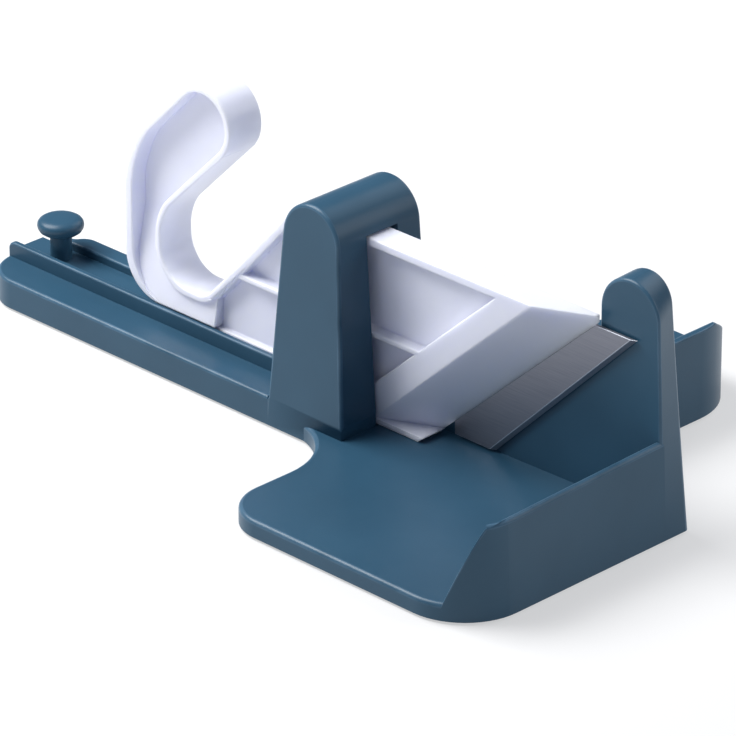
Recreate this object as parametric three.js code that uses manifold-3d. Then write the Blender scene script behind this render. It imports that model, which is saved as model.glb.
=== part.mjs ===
// Sausage guillotine slicer: a plastic base with a guide rail, a bridge and two trays, and a
// white carriage that pushes a slanted steel blade past the edge of an end wall.
// Millimetres. X runs along the rail from the stop knob to the slice tray's outer wall, Y from
// the slice tray to the feed tray, Z up. The origin is under the middle of the whole object.
import * as THREE from "three";
import { mergeVertices } from "three/addons/utils/BufferGeometryUtils.js";
import { ConvexGeometry } from "three/addons/geometries/ConvexGeometry.js";
import Module from "manifold-3d";

// Sizes shared by all the mouldings. Heights are above the mouldings' underside.
const WALL = 3;
const SEAM = 0.1;
const SLIDE_PLAY = 0.3;
const OUTER_DRAFT = 0.043;
const FOOT_STANDOFF = 1.2;

// Guide rail
const RAIL_LENGTH = 226.5;
const RAIL_WIDTH = 54;
const LEDGE_HEIGHT = 13.4;
const LEDGE_WIDTH = 17.6;
const RAIL_CORNER = 18;
const LIP_THICKNESS = 3;
const LIP_TOP = 20.4;
const CHANNEL_WIDTH = 16.8;
const CHANNEL_FLOOR = 15.7;
const CURB_THICKNESS = 9;
const CURB_SETBACK = 18;
const CURB_CORNER = 8;
const LOW_FLOOR_LENGTH = 64;

// Bridge over the rail
const BRIDGE_LENGTH = 44;
const BRIDGE_TOP = 107;
const BRIDGE_ARCH_RADIUS = 16.2;
const BRIDGE_FRONT_LEAN = 4.6;
const BRIDGE_BACK_LEAN = 1.5;
const SLOT_WIDTH = 18.3;
const SLOT_TOP = 93.4;
const BRIDGE_CORE = 16;

// Slice tray, in front of the blade
const TRAY_FLOOR = 7.7;
const TRAY_STEP = 4;
const TRAY_LENGTH = 142.5;
const TRAY_REACH = 76;
const TRAY_LEFT_CORNER = 22;
const TRAY_RIGHT_CORNER = 29;
const TRAY_FILLET = 34;
const TRAY_FILLET_SPAN = 80;
const SIDE_WALL_TOP = 44.3;
const SIDE_WALL_FOOT = 17;
const SIDE_WALL_RIM = 3.2;
const SIDE_WALL_ROUND = 1;

// End wall, the edge that the blade cuts against
const END_WALL_GAP = 1;
const END_WALL_THICKNESS = 15.2;
const SILL_HEIGHT = 15;
const PASSAGE_WIDTH = 53.5;
const FLANK_ANGLE = 47;
const POST_RADIUS = 16.3;
const POST_BACK_RADIUS = 12.4;
const POST_BACK_SHIFT = 2.2;
const POST_BACK_DRAFT = 1.5;
const POST_TOP = 111;

// Feed tray, behind the blade
const FEED_LENGTH = 112.5;
const FEED_SETBACK = 1.5;
const FEED_WALL_TOP = 41;
const FEED_WALL_RIM = 3.5;
const FEED_RIGHT_CORNER = 33;
const FEED_LEFT_CORNER = 30;

// Stop knob at the rear of the channel
const KNOB_SETBACK = 22.4;
const KNOB_RADIUS = 10.4;
const KNOB_TOP = 35.4;
const KNOB_UNDERSIDE = 27.9;
const KNOB_STEM_RADIUS = 4.85;
const KNOB_PIN_RADIUS = 3;
const KNOB_PIN_LENGTH = 12;
const KNOB_PIN_CHAMFER = 0.8;
// The head's half section, as shares of its radius and of its height
const KNOB_PROFILE = [
  [0.84, 0],
  [0.96, 0.2],
  [1, 0.5],
  [0.97, 0.73],
  [0.86, 0.89],
  [0.66, 0.97],
  [0, 1],
];

// Carriage, at the end of its cutting stroke
const CARRIAGE_TOP = 92.4;
const PLATE_THICKNESS = 14.1;
const CARRIAGE_WEB = 3;
const CARRIAGE_RIM = 4;
const RIB_HEIGHT = 47.3;
const RIB_THICKNESS = 2.5;
const CHAMFER_ANGLE = 42;
const CHAMFER_TOP_X = 314.5;
const CHAMFER_RUN = 29;
const NOSE_LENGTH = 24.5;
const BAND_WIDTH = 17.4;
const SHOE_LENGTH = 27;
const SHOE_THICKNESS = 2.4;
const HANDLE_THICKNESS = 19.5;
const HANDLE_RIM = 3;
const HANDLE_REAR_RIM = 4.7;
const HANDLE_REAR_X = 74.5;
const HANDLE_HEIGHT = 131;
const HANDLE_HEEL_RADIUS = 20;
const HANDLE_BACK_RADIUS = 48;
const GRIP_RADIUS = 17;
const GRIP_X = 123.5;
const GAP_LOW_X = 124.2;
const GAP_LOW_Z = 33.5;
const GAP_REAR_X = 96.5;
const GAP_REAR_RADIUS = 22;
const GAP_FOOT_RADIUS = 16.5;
const GAP_LOW_RADIUS = 10;
const RAMP_ANGLE = 48.1;
const HANDLE_STEP_X = 129.5;
const POCKET_HEEL_RADIUS = 22;
const POCKET_RAMP_TOP = 62;
const PLATE_HEEL = 15;

// Blade
const BLADE_THICKNESS = 1.5;
const BLADE_ANGLE = 44.6;
const BLADE_FOOT = 9.5;
const BLADE_HEIGHT = 76.8;
const BLADE_EDGE_X = 280.2;
const BLADE_FOOT_WIDTH = 22.6;
const BLADE_TOP_WIDTH = 44;
const BLADE_BEVEL = 3;
const BLADE_EDGE_THICKNESS = 0.3;

// Screws and feet
const BLADE_SCREW_HEIGHTS = [28, 50, 72];
const BLADE_SCREW_INSET = 14;
const BLADE_SCREW_LENGTH = 6;
const BLADE_SCREW_RADIUS = 1.5;
const BLADE_SCREW_HEAD_RADIUS = 2.8;
const BASE_SCREW_RADIUS = 1.8;
const BASE_SCREW_HEAD_RADIUS = 3.5;
const BASE_SCREW_HEAD_HEIGHT = 2.2;
const BRIDGE_SCREW_GRIP = 11;
const WALL_SCREW_GRIP = 5;
const BASE_SCREW_COVER = 4.5;
const SCREW_PLAY = 0.3;
// A screw head's flat face and cross recess, as shares of the head's radius and height
const HEAD_FACE = 0.7;
const CROSS_ARM = 0.55;
const CROSS_HALF_WIDTH = 0.14;
const CROSS_DEPTH = 0.5;
const FOOT_RADIUS = 7.5;
const FOOT_RECESS = 1.5;
const FOOT_PLUG_RADIUS = 3;
const FOOT_PLUG_LENGTH = 4;
const FOOT_PLUG_CHAMFER = 0.9;
const FOOT_PLAY = 0.2;
const FOOT_INSET = 17;

// Places that follow from the sizes
const radians = THREE.MathUtils.degToRad;
const lipY = LEDGE_WIDTH;
const channelFront = lipY + LIP_THICKNESS;
const channelBack = channelFront + CHANNEL_WIDTH;
const channelMiddle = (channelFront + channelBack) / 2;
const bridgeX = RAIL_LENGTH - BRIDGE_LENGTH / 2;
const bridgeRear = RAIL_LENGTH - BRIDGE_LENGTH;
const lowFloorX = RAIL_LENGTH - LOW_FLOOR_LENGTH;
const plateFront = channelMiddle - PLATE_THICKNESS / 2;
const plateBack = channelMiddle + PLATE_THICKNESS / 2;
const bladeFront = plateBack + SEAM;
const bladeBack = bladeFront + BLADE_THICKNESS;
const slotFront = channelFront;
const slotBack = slotFront + SLOT_WIDTH;
const trayLeft = RAIL_LENGTH + TRAY_STEP;
const trayRight = trayLeft + TRAY_LENGTH;
const wallFront = bladeBack + END_WALL_GAP;
const wallBack = wallFront + END_WALL_THICKNESS;
const passageRight = RAIL_LENGTH + PASSAGE_WIDTH;
const feedLeft = RAIL_LENGTH + FEED_SETBACK;
const flankSlope = Math.tan(radians(FLANK_ANGLE));
const flankZ = (x) => SILL_HEIGHT + (x - passageRight) * flankSlope;
const feedRight = passageRight + (FEED_WALL_TOP - SILL_HEIGHT) / flankSlope + FEED_WALL_RIM;
const feedFront = Math.max(wallBack, RAIL_WIDTH) + SEAM;
const feedBack = feedFront + FEED_LENGTH;
const webFront = channelMiddle - CARRIAGE_WEB / 2;
const webBack = channelMiddle + CARRIAGE_WEB / 2;
const handleFront = channelMiddle - HANDLE_THICKNESS / 2;
const handleBack = channelMiddle + HANDLE_THICKNESS / 2;
const CUT_MARGIN = 2;
const ARC_STEPS = 8;
const ROUND_STEPS = 20;
const POINT_GAP = 0.001;

const wasm = await Module();
wasm.setup();

// A closed three.js geometry as a solid that can be joined and cut.
function solid(geometry) {
  const bare = geometry.clone();
  bare.deleteAttribute("normal");
  bare.deleteAttribute("uv");
  const merged = mergeVertices(bare, 1e-4);
  return new wasm.Manifold(
    new wasm.Mesh({
      numProp: 3,
      vertProperties: new Float32Array(merged.attributes.position.array),
      triVerts: new Uint32Array(merged.index.array),
    }),
  );
}

// A solid as a three.js geometry.
function geometryOf(body) {
  const mesh = body.getMesh();
  const geometry = new THREE.BufferGeometry();
  geometry.setAttribute("position", new THREE.BufferAttribute(mesh.vertProperties, 3));
  geometry.setIndex(new THREE.BufferAttribute(mesh.triVerts, 1));
  geometry.computeVertexNormals();
  return geometry;
}

// A closed outline through corners given as [across, up, radius], rounded where a radius is given.
function outline(corners) {
  const shape = new THREE.Shape();
  const place = (i) => {
    const corner = corners[(i + corners.length) % corners.length];
    return new THREE.Vector2(corner[0], corner[1]);
  };
  corners.forEach(([, , radius = 0], i) => {
    const here = place(i);
    const back = place(i - 1).sub(here).normalize();
    const ahead = place(i + 1).sub(here).normalize();
    const half = Math.acos(THREE.MathUtils.clamp(back.dot(ahead), -1, 1)) / 2;
    const start = back.clone().multiplyScalar(radius / Math.tan(half)).add(here);
    if (i === 0) shape.moveTo(start.x, start.y);
    else shape.lineTo(start.x, start.y);
    if (radius === 0) return;
    const middle = back.clone().add(ahead).normalize().multiplyScalar(radius / Math.sin(half)).add(here);
    const end = ahead.clone().multiplyScalar(radius / Math.tan(half)).add(here);
    const from = start.clone().sub(middle).angle();
    const to = end.clone().sub(middle).angle();
    shape.absarc(middle.x, middle.y, radius, from, to, back.cross(ahead) > 0);
  });
  shape.closePath();
  return shape;
}

// An outline given depth, with the points that fall together where its arcs and lines meet made one.
function deepened(shape, depth) {
  const points = shape.getPoints(ARC_STEPS);
  const apart = (point, i) => point.distanceTo(points[(i + 1) % points.length]) > POINT_GAP;
  const clean = new THREE.Shape(points.filter(apart));
  return new THREE.ExtrudeGeometry(clean, { depth, bevelEnabled: false });
}

// An outline seen from above, standing from one height to another.
function upright(shape, low, high) {
  return solid(deepened(shape, high - low).translate(0, 0, low));
}

// An outline seen from the front, reaching from one Y to another.
function frontal(shape, near, far) {
  return solid(deepened(shape, far - near).rotateX(Math.PI / 2).translate(0, far, 0));
}

// An outline of Y and Z, reaching from one X to another.
function endwise(shape, left, right) {
  const turn = new THREE.Matrix4().makeBasis(
    new THREE.Vector3(0, 1, 0),
    new THREE.Vector3(0, 0, 1),
    new THREE.Vector3(1, 0, 0),
  );
  return solid(deepened(shape, right - left).applyMatrix4(turn).translate(left, 0, 0));
}

// A block between two opposite corners.
function block(low, high) {
  const size = high.map((value, axis) => value - low[axis]);
  const geometry = new THREE.BoxGeometry(...size);
  return solid(geometry.translate(...low.map((value, axis) => value + size[axis] / 2)));
}

// A turned piece on an upright axis, from its half section as [radius, height].
function turned(section, x, y) {
  const points = section.map(([radius, height]) => new THREE.Vector2(radius, height));
  const geometry = new THREE.LatheGeometry(points, ROUND_STEPS);
  return solid(geometry.rotateX(Math.PI / 2).translate(x, y, 0));
}

// A round post or hole on an upright axis.
function round(radius, low, high, x, y) {
  const section = [
    [0, low],
    [radius, low],
    [radius, high],
    [0, high],
  ];
  return turned(section, x, y);
}

// Where the rubber feet stand: two under the rail's rear end and two under each tray.
const FEET = {
  foot_rail_front: [FOOT_INSET + RAIL_CORNER, LEDGE_WIDTH / 2 + WALL],
  foot_rail_back: [FOOT_INSET + RAIL_CORNER, RAIL_WIDTH - LEDGE_WIDTH / 2 - WALL],
  foot_tray_left: [trayLeft + FOOT_INSET, FOOT_INSET - TRAY_REACH],
  foot_tray_right: [trayRight - TRAY_RIGHT_CORNER, FOOT_INSET - TRAY_REACH],
  foot_feed_left: [feedLeft + FOOT_INSET, feedBack - FOOT_INSET],
  foot_feed_right: [feedRight - FEED_RIGHT_CORNER, feedBack - FOOT_INSET],
};

// The socket that a foot's pad and plug press into.
function footSocket([x, y]) {
  const section = [
    [0, -CUT_MARGIN],
    [FOOT_RADIUS + FOOT_PLAY, -CUT_MARGIN],
    [FOOT_RADIUS + FOOT_PLAY, FOOT_RECESS],
    [FOOT_PLUG_RADIUS + FOOT_PLAY, FOOT_RECESS],
    [FOOT_PLUG_RADIUS + FOOT_PLAY, FOOT_RECESS + FOOT_PLUG_LENGTH + FOOT_PLAY],
    [0, FOOT_RECESS + FOOT_PLUG_LENGTH + FOOT_PLAY],
  ];
  return turned(section, x, y);
}

// A hollow under a moulding that leaves room for the feet that stand in it.
function hollowUnder(body, hollow, feet, ceiling) {
  const bosses = feet.map(([x, y]) => round(FOOT_RADIUS + WALL, 0, ceiling, x, y));
  const spared = bosses.reduce((space, boss) => space.subtract(boss), hollow);
  const sockets = feet.map(footSocket);
  return sockets.reduce((left, socket) => left.subtract(socket), body.subtract(spared));
}

// Where the screws hold the bridge's two legs and the end wall.
const legMiddles = [
  (LEDGE_WIDTH + BRIDGE_FRONT_LEAN) / 2,
  (slotBack + RAIL_WIDTH - BRIDGE_BACK_LEAN) / 2,
];
const legScrewReach = BRIDGE_LENGTH / 2 - WALL - 2 * BASE_SCREW_HEAD_RADIUS;
const BRIDGE_SCREWS = legMiddles.flatMap((y) => [
  [bridgeX - legScrewReach, y],
  [bridgeX + legScrewReach, y],
]);
const wallMiddle = (wallFront + wallBack) / 2;
const postX = trayRight - OUTER_DRAFT * (POST_TOP - POST_RADIUS) - POST_RADIUS;
const WALL_SCREWS = [
  [RAIL_LENGTH + FOOT_INSET, wallMiddle],
  [(passageRight + postX) / 2, wallMiddle],
  [postX + POST_RADIUS / 2, wallMiddle],
];

// The hole for a screw: a counterbore for its head from below and a clear way for its shank.
function screwHole([x, y], seat, grip) {
  const headRoom = seat - BASE_SCREW_COVER + BASE_SCREW_HEAD_HEIGHT;
  const clear = BASE_SCREW_RADIUS + SCREW_PLAY;
  const section = [
    [0, -CUT_MARGIN],
    [BASE_SCREW_HEAD_RADIUS + SCREW_PLAY, -CUT_MARGIN],
    [BASE_SCREW_HEAD_RADIUS + SCREW_PLAY, headRoom],
    [clear, headRoom],
    [clear, seat + grip + SCREW_PLAY],
    [0, seat + grip + SCREW_PLAY],
  ];
  return turned(section, x, y);
}
const bridgeScrewHole = (at) => screwHole(at, LEDGE_HEIGHT, BRIDGE_SCREW_GRIP);
const wallScrewHole = (at) => screwHole(at, TRAY_FLOOR, WALL_SCREW_GRIP);

// A pan head self-tapping screw driven up from below, with a cross recess in its head.
function baseScrew([x, y], seat, grip) {
  const under = seat - BASE_SCREW_COVER + BASE_SCREW_HEAD_HEIGHT - SEAM;
  const face = under - BASE_SCREW_HEAD_HEIGHT;
  const tip = seat + grip;
  const section = [
    [0, face],
    [BASE_SCREW_HEAD_RADIUS * HEAD_FACE, face],
    [BASE_SCREW_HEAD_RADIUS, face + BASE_SCREW_HEAD_HEIGHT * CROSS_DEPTH],
    [BASE_SCREW_HEAD_RADIUS, under],
    [BASE_SCREW_RADIUS, under],
    [BASE_SCREW_RADIUS, tip - BASE_SCREW_RADIUS],
    [0, tip],
  ];
  const arm = BASE_SCREW_HEAD_RADIUS * CROSS_ARM;
  const cut = BASE_SCREW_HEAD_RADIUS * CROSS_HALF_WIDTH;
  const floor = face + BASE_SCREW_HEAD_HEIGHT * CROSS_DEPTH;
  return turned(section, x, y)
    .subtract(block([x - arm, y - cut, face - CUT_MARGIN], [x + arm, y + cut, floor]))
    .subtract(block([x - cut, y - arm, face - CUT_MARGIN], [x + cut, y + arm, floor]));
}

// Guide rail: a low plinth with a ledge, a thin front lip, a channel and a thicker rear curb.
function makeRail() {
  const plinth = outline([
    [0, 0, RAIL_CORNER],
    [RAIL_LENGTH, 0],
    [RAIL_LENGTH, RAIL_WIDTH],
    [0, RAIL_WIDTH, RAIL_CORNER],
  ]);
  const curb = outline([
    [CURB_SETBACK, channelBack],
    [bridgeRear, channelBack],
    [bridgeRear, channelBack + CURB_THICKNESS],
    [CURB_SETBACK, channelBack + CURB_THICKNESS, CURB_CORNER],
  ]);
  const hollow = outline([
    [WALL, WALL, RAIL_CORNER - WALL],
    [lowFloorX - WALL, WALL],
    [lowFloorX - WALL, RAIL_WIDTH - WALL],
    [WALL, RAIL_WIDTH - WALL, RAIL_CORNER - WALL],
  ]);
  const ceiling = LEDGE_HEIGHT - WALL;
  const knobBoss = round(KNOB_PIN_RADIUS + WALL, 0, ceiling, KNOB_SETBACK, channelMiddle);
  const pinHole = KNOB_PIN_RADIUS + SLIDE_PLAY;
  const pinFoot = CHANNEL_FLOOR - KNOB_PIN_LENGTH - SLIDE_PLAY;
  let rail = upright(plinth, 0, LEDGE_HEIGHT)
    .add(block([0, lipY, 0], [bridgeRear, channelFront, LIP_TOP]))
    .add(block([0, channelFront, 0], [lowFloorX, channelBack, CHANNEL_FLOOR]))
    .add(upright(curb, 0, LIP_TOP))
    .subtract(block([lowFloorX, channelFront, TRAY_FLOOR], [bridgeRear, channelBack, LIP_TOP]))
    .subtract(
      block(
        [bridgeRear - CUT_MARGIN, slotFront, TRAY_FLOOR],
        [RAIL_LENGTH + CUT_MARGIN, slotBack, LEDGE_HEIGHT + CUT_MARGIN],
      ),
    );
  const feet = [FEET.foot_rail_front, FEET.foot_rail_back];
  const space = upright(hollow, -CUT_MARGIN, ceiling).subtract(knobBoss);
  rail = hollowUnder(rail, space, feet, ceiling);
  rail = rail.subtract(round(pinHole, pinFoot, LIP_TOP, KNOB_SETBACK, channelMiddle));
  return BRIDGE_SCREWS.reduce((body, place) => body.subtract(bridgeScrewHole(place)), rail);
}

// Bridge: an arched block on two legs that stand on the rail either side of the carriage.
function makeBridge() {
  const seat = LEDGE_HEIGHT + SEAM;
  const spring = BRIDGE_TOP - BRIDGE_ARCH_RADIUS;
  const arch = new THREE.Shape();
  arch.moveTo(bridgeRear, seat);
  arch.lineTo(RAIL_LENGTH, seat);
  arch.lineTo(bridgeX + BRIDGE_ARCH_RADIUS, spring);
  arch.absarc(bridgeX, spring, BRIDGE_ARCH_RADIUS, 0, Math.PI, false);
  arch.closePath();
  const leaning = outline([
    [0, seat],
    [RAIL_WIDTH, seat],
    [RAIL_WIDTH - BRIDGE_BACK_LEAN, BRIDGE_TOP + CUT_MARGIN],
    [BRIDGE_FRONT_LEAN, BRIDGE_TOP + CUT_MARGIN],
  ]);
  const slot = block(
    [bridgeRear - CUT_MARGIN, slotFront, 0],
    [RAIL_LENGTH + CUT_MARGIN, slotBack, SLOT_TOP],
  );
  const coreTop = SLOT_TOP - BRIDGE_ARCH_RADIUS;
  const core = (near, far) =>
    block([bridgeX - BRIDGE_CORE / 2, near, 0], [bridgeX + BRIDGE_CORE / 2, far, coreTop]);
  const body = frontal(arch, -CUT_MARGIN, RAIL_WIDTH + CUT_MARGIN)
    .intersect(endwise(leaning, bridgeRear - CUT_MARGIN, RAIL_LENGTH + CUT_MARGIN))
    .subtract(slot)
    .subtract(core(BRIDGE_FRONT_LEAN + WALL, slotFront - WALL))
    .subtract(core(slotBack + WALL, RAIL_WIDTH - BRIDGE_BACK_LEAN - WALL));
  return BRIDGE_SCREWS.reduce((left, place) => left.subtract(bridgeScrewHole(place)), body);
}

// The slice tray's outer wall: thick at its foot, leaning in to a narrow rim.
function makeSideWall() {
  const rimRight = trayRight - OUTER_DRAFT * SIDE_WALL_TOP;
  const section = outline([
    [trayRight - SIDE_WALL_FOOT, 0],
    [trayRight, 0],
    [rimRight, SIDE_WALL_TOP, SIDE_WALL_ROUND],
    [rimRight - SIDE_WALL_RIM, SIDE_WALL_TOP, SIDE_WALL_ROUND],
    [trayRight - SIDE_WALL_FOOT, TRAY_FLOOR],
  ]);
  return frontal(section, -TRAY_REACH, wallFront - SEAM);
}

// Slice tray: a thin slab with a rounded front, and the outer wall along its far side.
function makeSliceTray() {
  const plan = new THREE.Shape();
  const filletStart = radians(TRAY_FILLET_SPAN);
  const filletX = trayLeft - TRAY_FILLET;
  plan.moveTo(filletX + TRAY_FILLET * Math.cos(filletStart), -SEAM);
  plan.absarc(filletX, -TRAY_FILLET, TRAY_FILLET, filletStart, 0, true);
  plan.lineTo(trayLeft, TRAY_LEFT_CORNER - TRAY_REACH);
  const leftX = trayLeft + TRAY_LEFT_CORNER;
  plan.absarc(leftX, TRAY_LEFT_CORNER - TRAY_REACH, TRAY_LEFT_CORNER, Math.PI, 1.5 * Math.PI, false);
  const rightX = trayRight - TRAY_RIGHT_CORNER;
  plan.absarc(rightX, TRAY_RIGHT_CORNER - TRAY_REACH, TRAY_RIGHT_CORNER, 1.5 * Math.PI, 0, false);
  const postBackLeft = postX - POST_BACK_SHIFT - POST_BACK_RADIUS;
  plan.lineTo(trayRight, wallBack + POST_BACK_DRAFT);
  plan.lineTo(postBackLeft, wallBack + POST_BACK_DRAFT);
  plan.lineTo(postBackLeft, wallBack);
  plan.lineTo(RAIL_LENGTH + SEAM, wallBack);
  plan.lineTo(RAIL_LENGTH + SEAM, -SEAM);
  plan.closePath();
  const hollow = outline([
    [trayLeft + WALL, WALL - TRAY_REACH, TRAY_LEFT_CORNER - WALL],
    [trayRight - SIDE_WALL_FOOT, WALL - TRAY_REACH, SIDE_WALL_FOOT / 2],
    [trayRight - SIDE_WALL_FOOT, wallFront - WALL],
    [trayLeft + WALL, wallFront - WALL],
  ]);
  const draft = outline([
    [RAIL_LENGTH - TRAY_FILLET, -CUT_MARGIN],
    [trayRight + OUTER_DRAFT * CUT_MARGIN, -CUT_MARGIN],
    [trayRight - OUTER_DRAFT * POST_TOP, POST_TOP],
    [RAIL_LENGTH - TRAY_FILLET, POST_TOP],
  ]);
  const ceiling = TRAY_FLOOR - WALL;
  const body = upright(plan, 0, TRAY_FLOOR)
    .add(makeSideWall().intersect(upright(plan, 0, SIDE_WALL_TOP)))
    .intersect(frontal(draft, -TRAY_REACH - CUT_MARGIN, wallBack + POST_BACK_DRAFT + CUT_MARGIN));
  const feet = [FEET.foot_tray_left, FEET.foot_tray_right];
  const tray = hollowUnder(body, upright(hollow, -CUT_MARGIN, ceiling), feet, ceiling);
  return WALL_SCREWS.reduce((left, place) => left.subtract(wallScrewHole(place)), tray);
}

// The outline of the post at one of its faces: a foot, upright sides and a round arch.
function postFace(y, middle, radius, footY) {
  const foot = TRAY_FLOOR + SEAM;
  const spring = POST_TOP - radius;
  const arch = Array.from({ length: 2 * ARC_STEPS + 1 }, (_, i) => {
    const turn = (Math.PI * i) / (2 * ARC_STEPS);
    return new THREE.Vector3(middle + radius * Math.cos(turn), y, spring + radius * Math.sin(turn));
  });
  const footRight = trayRight - OUTER_DRAFT * foot;
  const left = new THREE.Vector3(middle - radius, footY, foot);
  return [left, new THREE.Vector3(footRight, footY, foot), ...arch];
}

// End wall: a sill under the sausage, a sloping edge that rises from it, and an arched post.
function makeEndWall() {
  const seat = TRAY_FLOOR + SEAM;
  const postLeft = postX - POST_RADIUS;
  const left = RAIL_LENGTH + SEAM;
  const wall = outline([
    [left, seat],
    [postX, seat],
    [postX, flankZ(postLeft)],
    [postLeft, flankZ(postLeft)],
    [passageRight, SILL_HEIGHT],
    [left, SILL_HEIGHT],
  ]);
  const post = new ConvexGeometry([
    ...postFace(wallFront, postX, POST_RADIUS, wallFront),
    ...postFace(wallBack, postX - POST_BACK_SHIFT, POST_BACK_RADIUS, wallBack + POST_BACK_DRAFT),
  ]);
  const coreLeft = WALL_SCREWS[1][0] + BASE_SCREW_HEAD_RADIUS + WALL;
  const coreRight = WALL_SCREWS[2][0] - BASE_SCREW_HEAD_RADIUS - WALL;
  const core = outline([
    [coreLeft, seat - CUT_MARGIN],
    [coreRight, seat - CUT_MARGIN],
    [coreRight, flankZ(coreRight) - 2 * WALL],
    [coreLeft, flankZ(coreLeft) - 2 * WALL],
  ]);
  const body = frontal(wall, wallFront, wallBack)
    .add(solid(post))
    .subtract(frontal(core, wallFront + WALL, wallBack - WALL));
  return WALL_SCREWS.reduce((rest, place) => rest.subtract(wallScrewHole(place)), body);
}

// Feed tray: a floor level with the sill and a sloping flank that the sausage lies against.
function makeFeedTray() {
  const section = outline([
    [feedLeft, 0],
    [feedRight, 0],
    [feedRight, FEED_WALL_TOP],
    [feedRight - FEED_WALL_RIM, FEED_WALL_TOP],
    [passageRight, SILL_HEIGHT],
    [feedLeft, SILL_HEIGHT],
  ]);
  const plan = outline([
    [feedLeft, feedFront],
    [feedRight, feedFront],
    [feedRight, feedBack, FEED_RIGHT_CORNER],
    [feedLeft, feedBack, FEED_LEFT_CORNER],
  ]);
  const hollow = outline([
    [feedLeft + WALL, feedFront + WALL],
    [passageRight, feedFront + WALL],
    [passageRight, feedBack - WALL],
    [feedLeft + WALL, feedBack - WALL, FEED_LEFT_CORNER - WALL],
  ]);
  const coreLeft = passageRight + WALL;
  const coreRight = feedRight - WALL;
  const skin = WALL / Math.cos(radians(FLANK_ANGLE));
  const flankCore = outline([
    [coreLeft, -CUT_MARGIN],
    [coreRight, -CUT_MARGIN],
    [coreRight, flankZ(coreRight) - skin],
    [coreLeft, flankZ(coreLeft) - skin],
  ]);
  const ceiling = SILL_HEIGHT - WALL;
  const coreBack = feedBack - FEED_RIGHT_CORNER - WALL;
  const body = frontal(section, feedFront, feedBack)
    .intersect(upright(plan, 0, FEED_WALL_TOP))
    .subtract(frontal(flankCore, feedFront + WALL, coreBack));
  const feet = [FEET.foot_feed_left, FEET.foot_feed_right];
  return hollowUnder(body, upright(hollow, -CUT_MARGIN, ceiling), feet, ceiling);
}

// Stop knob: a mushroom head on a stem, with a pin that plugs into the channel floor.
function makeKnob() {
  const shoulder = CHANNEL_FLOOR + SEAM;
  const pinEnd = CHANNEL_FLOOR - KNOB_PIN_LENGTH;
  const headHeight = KNOB_TOP - KNOB_UNDERSIDE;
  const head = KNOB_PROFILE.map(([across, up]) => [KNOB_RADIUS * across, KNOB_UNDERSIDE + headHeight * up]);
  const section = [
    [0, pinEnd],
    [KNOB_PIN_RADIUS - KNOB_PIN_CHAMFER, pinEnd],
    [KNOB_PIN_RADIUS, pinEnd + KNOB_PIN_CHAMFER],
    [KNOB_PIN_RADIUS, shoulder],
    [KNOB_STEM_RADIUS, shoulder],
    [KNOB_STEM_RADIUS, KNOB_UNDERSIDE],
    ...head,
  ];
  return turned(section, KNOB_SETBACK, channelMiddle);
}

// X of a line that rises at the chamfer's angle through a point at the carriage's top.
const chamferSlope = Math.tan(radians(CHAMFER_ANGLE));
const chamferLine = (topX, z) => topX - (CARRIAGE_TOP - z) / chamferSlope;
const chamferBackX = CHAMFER_TOP_X + CHAMFER_RUN;
const bandX = (z) => chamferLine(CHAMFER_TOP_X - BAND_WIDTH, z);
const rampSlope = Math.tan(radians(RAMP_ANGLE));
const rampX = (z) => GAP_LOW_X + (z - GAP_LOW_Z) / rampSlope;

// The plate that runs through the bridge, chamfered towards the blade and cored out on both sides.
function makePlate() {
  const low = CHANNEL_FLOOR + SLIDE_PLAY;
  const shoeLow = TRAY_FLOOR + SLIDE_PLAY;
  const shoeTop = shoeLow + SHOE_THICKNESS;
  const shoeRight = chamferLine(chamferBackX, shoeLow);
  const noseX = CHAMFER_TOP_X + NOSE_LENGTH;
  const heelX = HANDLE_REAR_X + PLATE_HEEL;
  const body = outline([
    [heelX, low, CARRIAGE_RIM / 2],
    [shoeRight - SHOE_LENGTH, low],
    [shoeRight - SHOE_LENGTH, shoeLow],
    [shoeRight, shoeLow],
    [noseX, CARRIAGE_TOP - (chamferBackX - noseX) * chamferSlope],
    [noseX, CARRIAGE_TOP],
    [rampX(CARRIAGE_TOP), CARRIAGE_TOP, CARRIAGE_RIM],
    [rampX(GAP_LOW_Z), GAP_LOW_Z],
    [heelX, LIP_TOP + CARRIAGE_RIM],
  ]);
  const frontY = plateFront - CUT_MARGIN;
  const reach = ((plateBack - frontY) * CHAMFER_RUN) / PLATE_THICKNESS;
  const wedge = [shoeTop, CARRIAGE_TOP + CUT_MARGIN].flatMap((z) => {
    const backX = chamferLine(chamferBackX, z);
    return [
      new THREE.Vector3(backX, plateBack, z),
      new THREE.Vector3(backX - reach, frontY, z),
      new THREE.Vector3(backX + CHAMFER_RUN, frontY, z),
    ];
  });
  const rimAcross = CARRIAGE_RIM / Math.sin(radians(RAMP_ANGLE));
  const ribTop = RIB_HEIGHT + RIB_THICKNESS;
  const flange = CARRIAGE_TOP - CARRIAGE_RIM;
  const upper = outline([
    [rampX(ribTop) + rimAcross, ribTop],
    [bandX(ribTop), ribTop],
    [bandX(flange), flange],
    [rampX(flange) + rimAcross, flange],
  ]);
  const foot = low + CARRIAGE_RIM;
  const stepTop = GAP_LOW_Z + (HANDLE_STEP_X - rimAcross - GAP_LOW_X) * rampSlope;
  const lower = outline([
    [HANDLE_STEP_X, foot],
    [bandX(foot), foot],
    [bandX(RIB_HEIGHT), RIB_HEIGHT],
    [rampX(RIB_HEIGHT) + rimAcross, RIB_HEIGHT],
    [HANDLE_STEP_X, stepTop],
  ]);
  const plate = frontal(body, plateFront, plateBack).subtract(solid(new ConvexGeometry(wedge)));
  return [upper, lower].reduce(
    (left, pocket) =>
      left
        .subtract(frontal(pocket, plateFront - CUT_MARGIN, webFront))
        .subtract(frontal(pocket, webBack, plateBack + CUT_MARGIN)),
    plate,
  );
}

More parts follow.
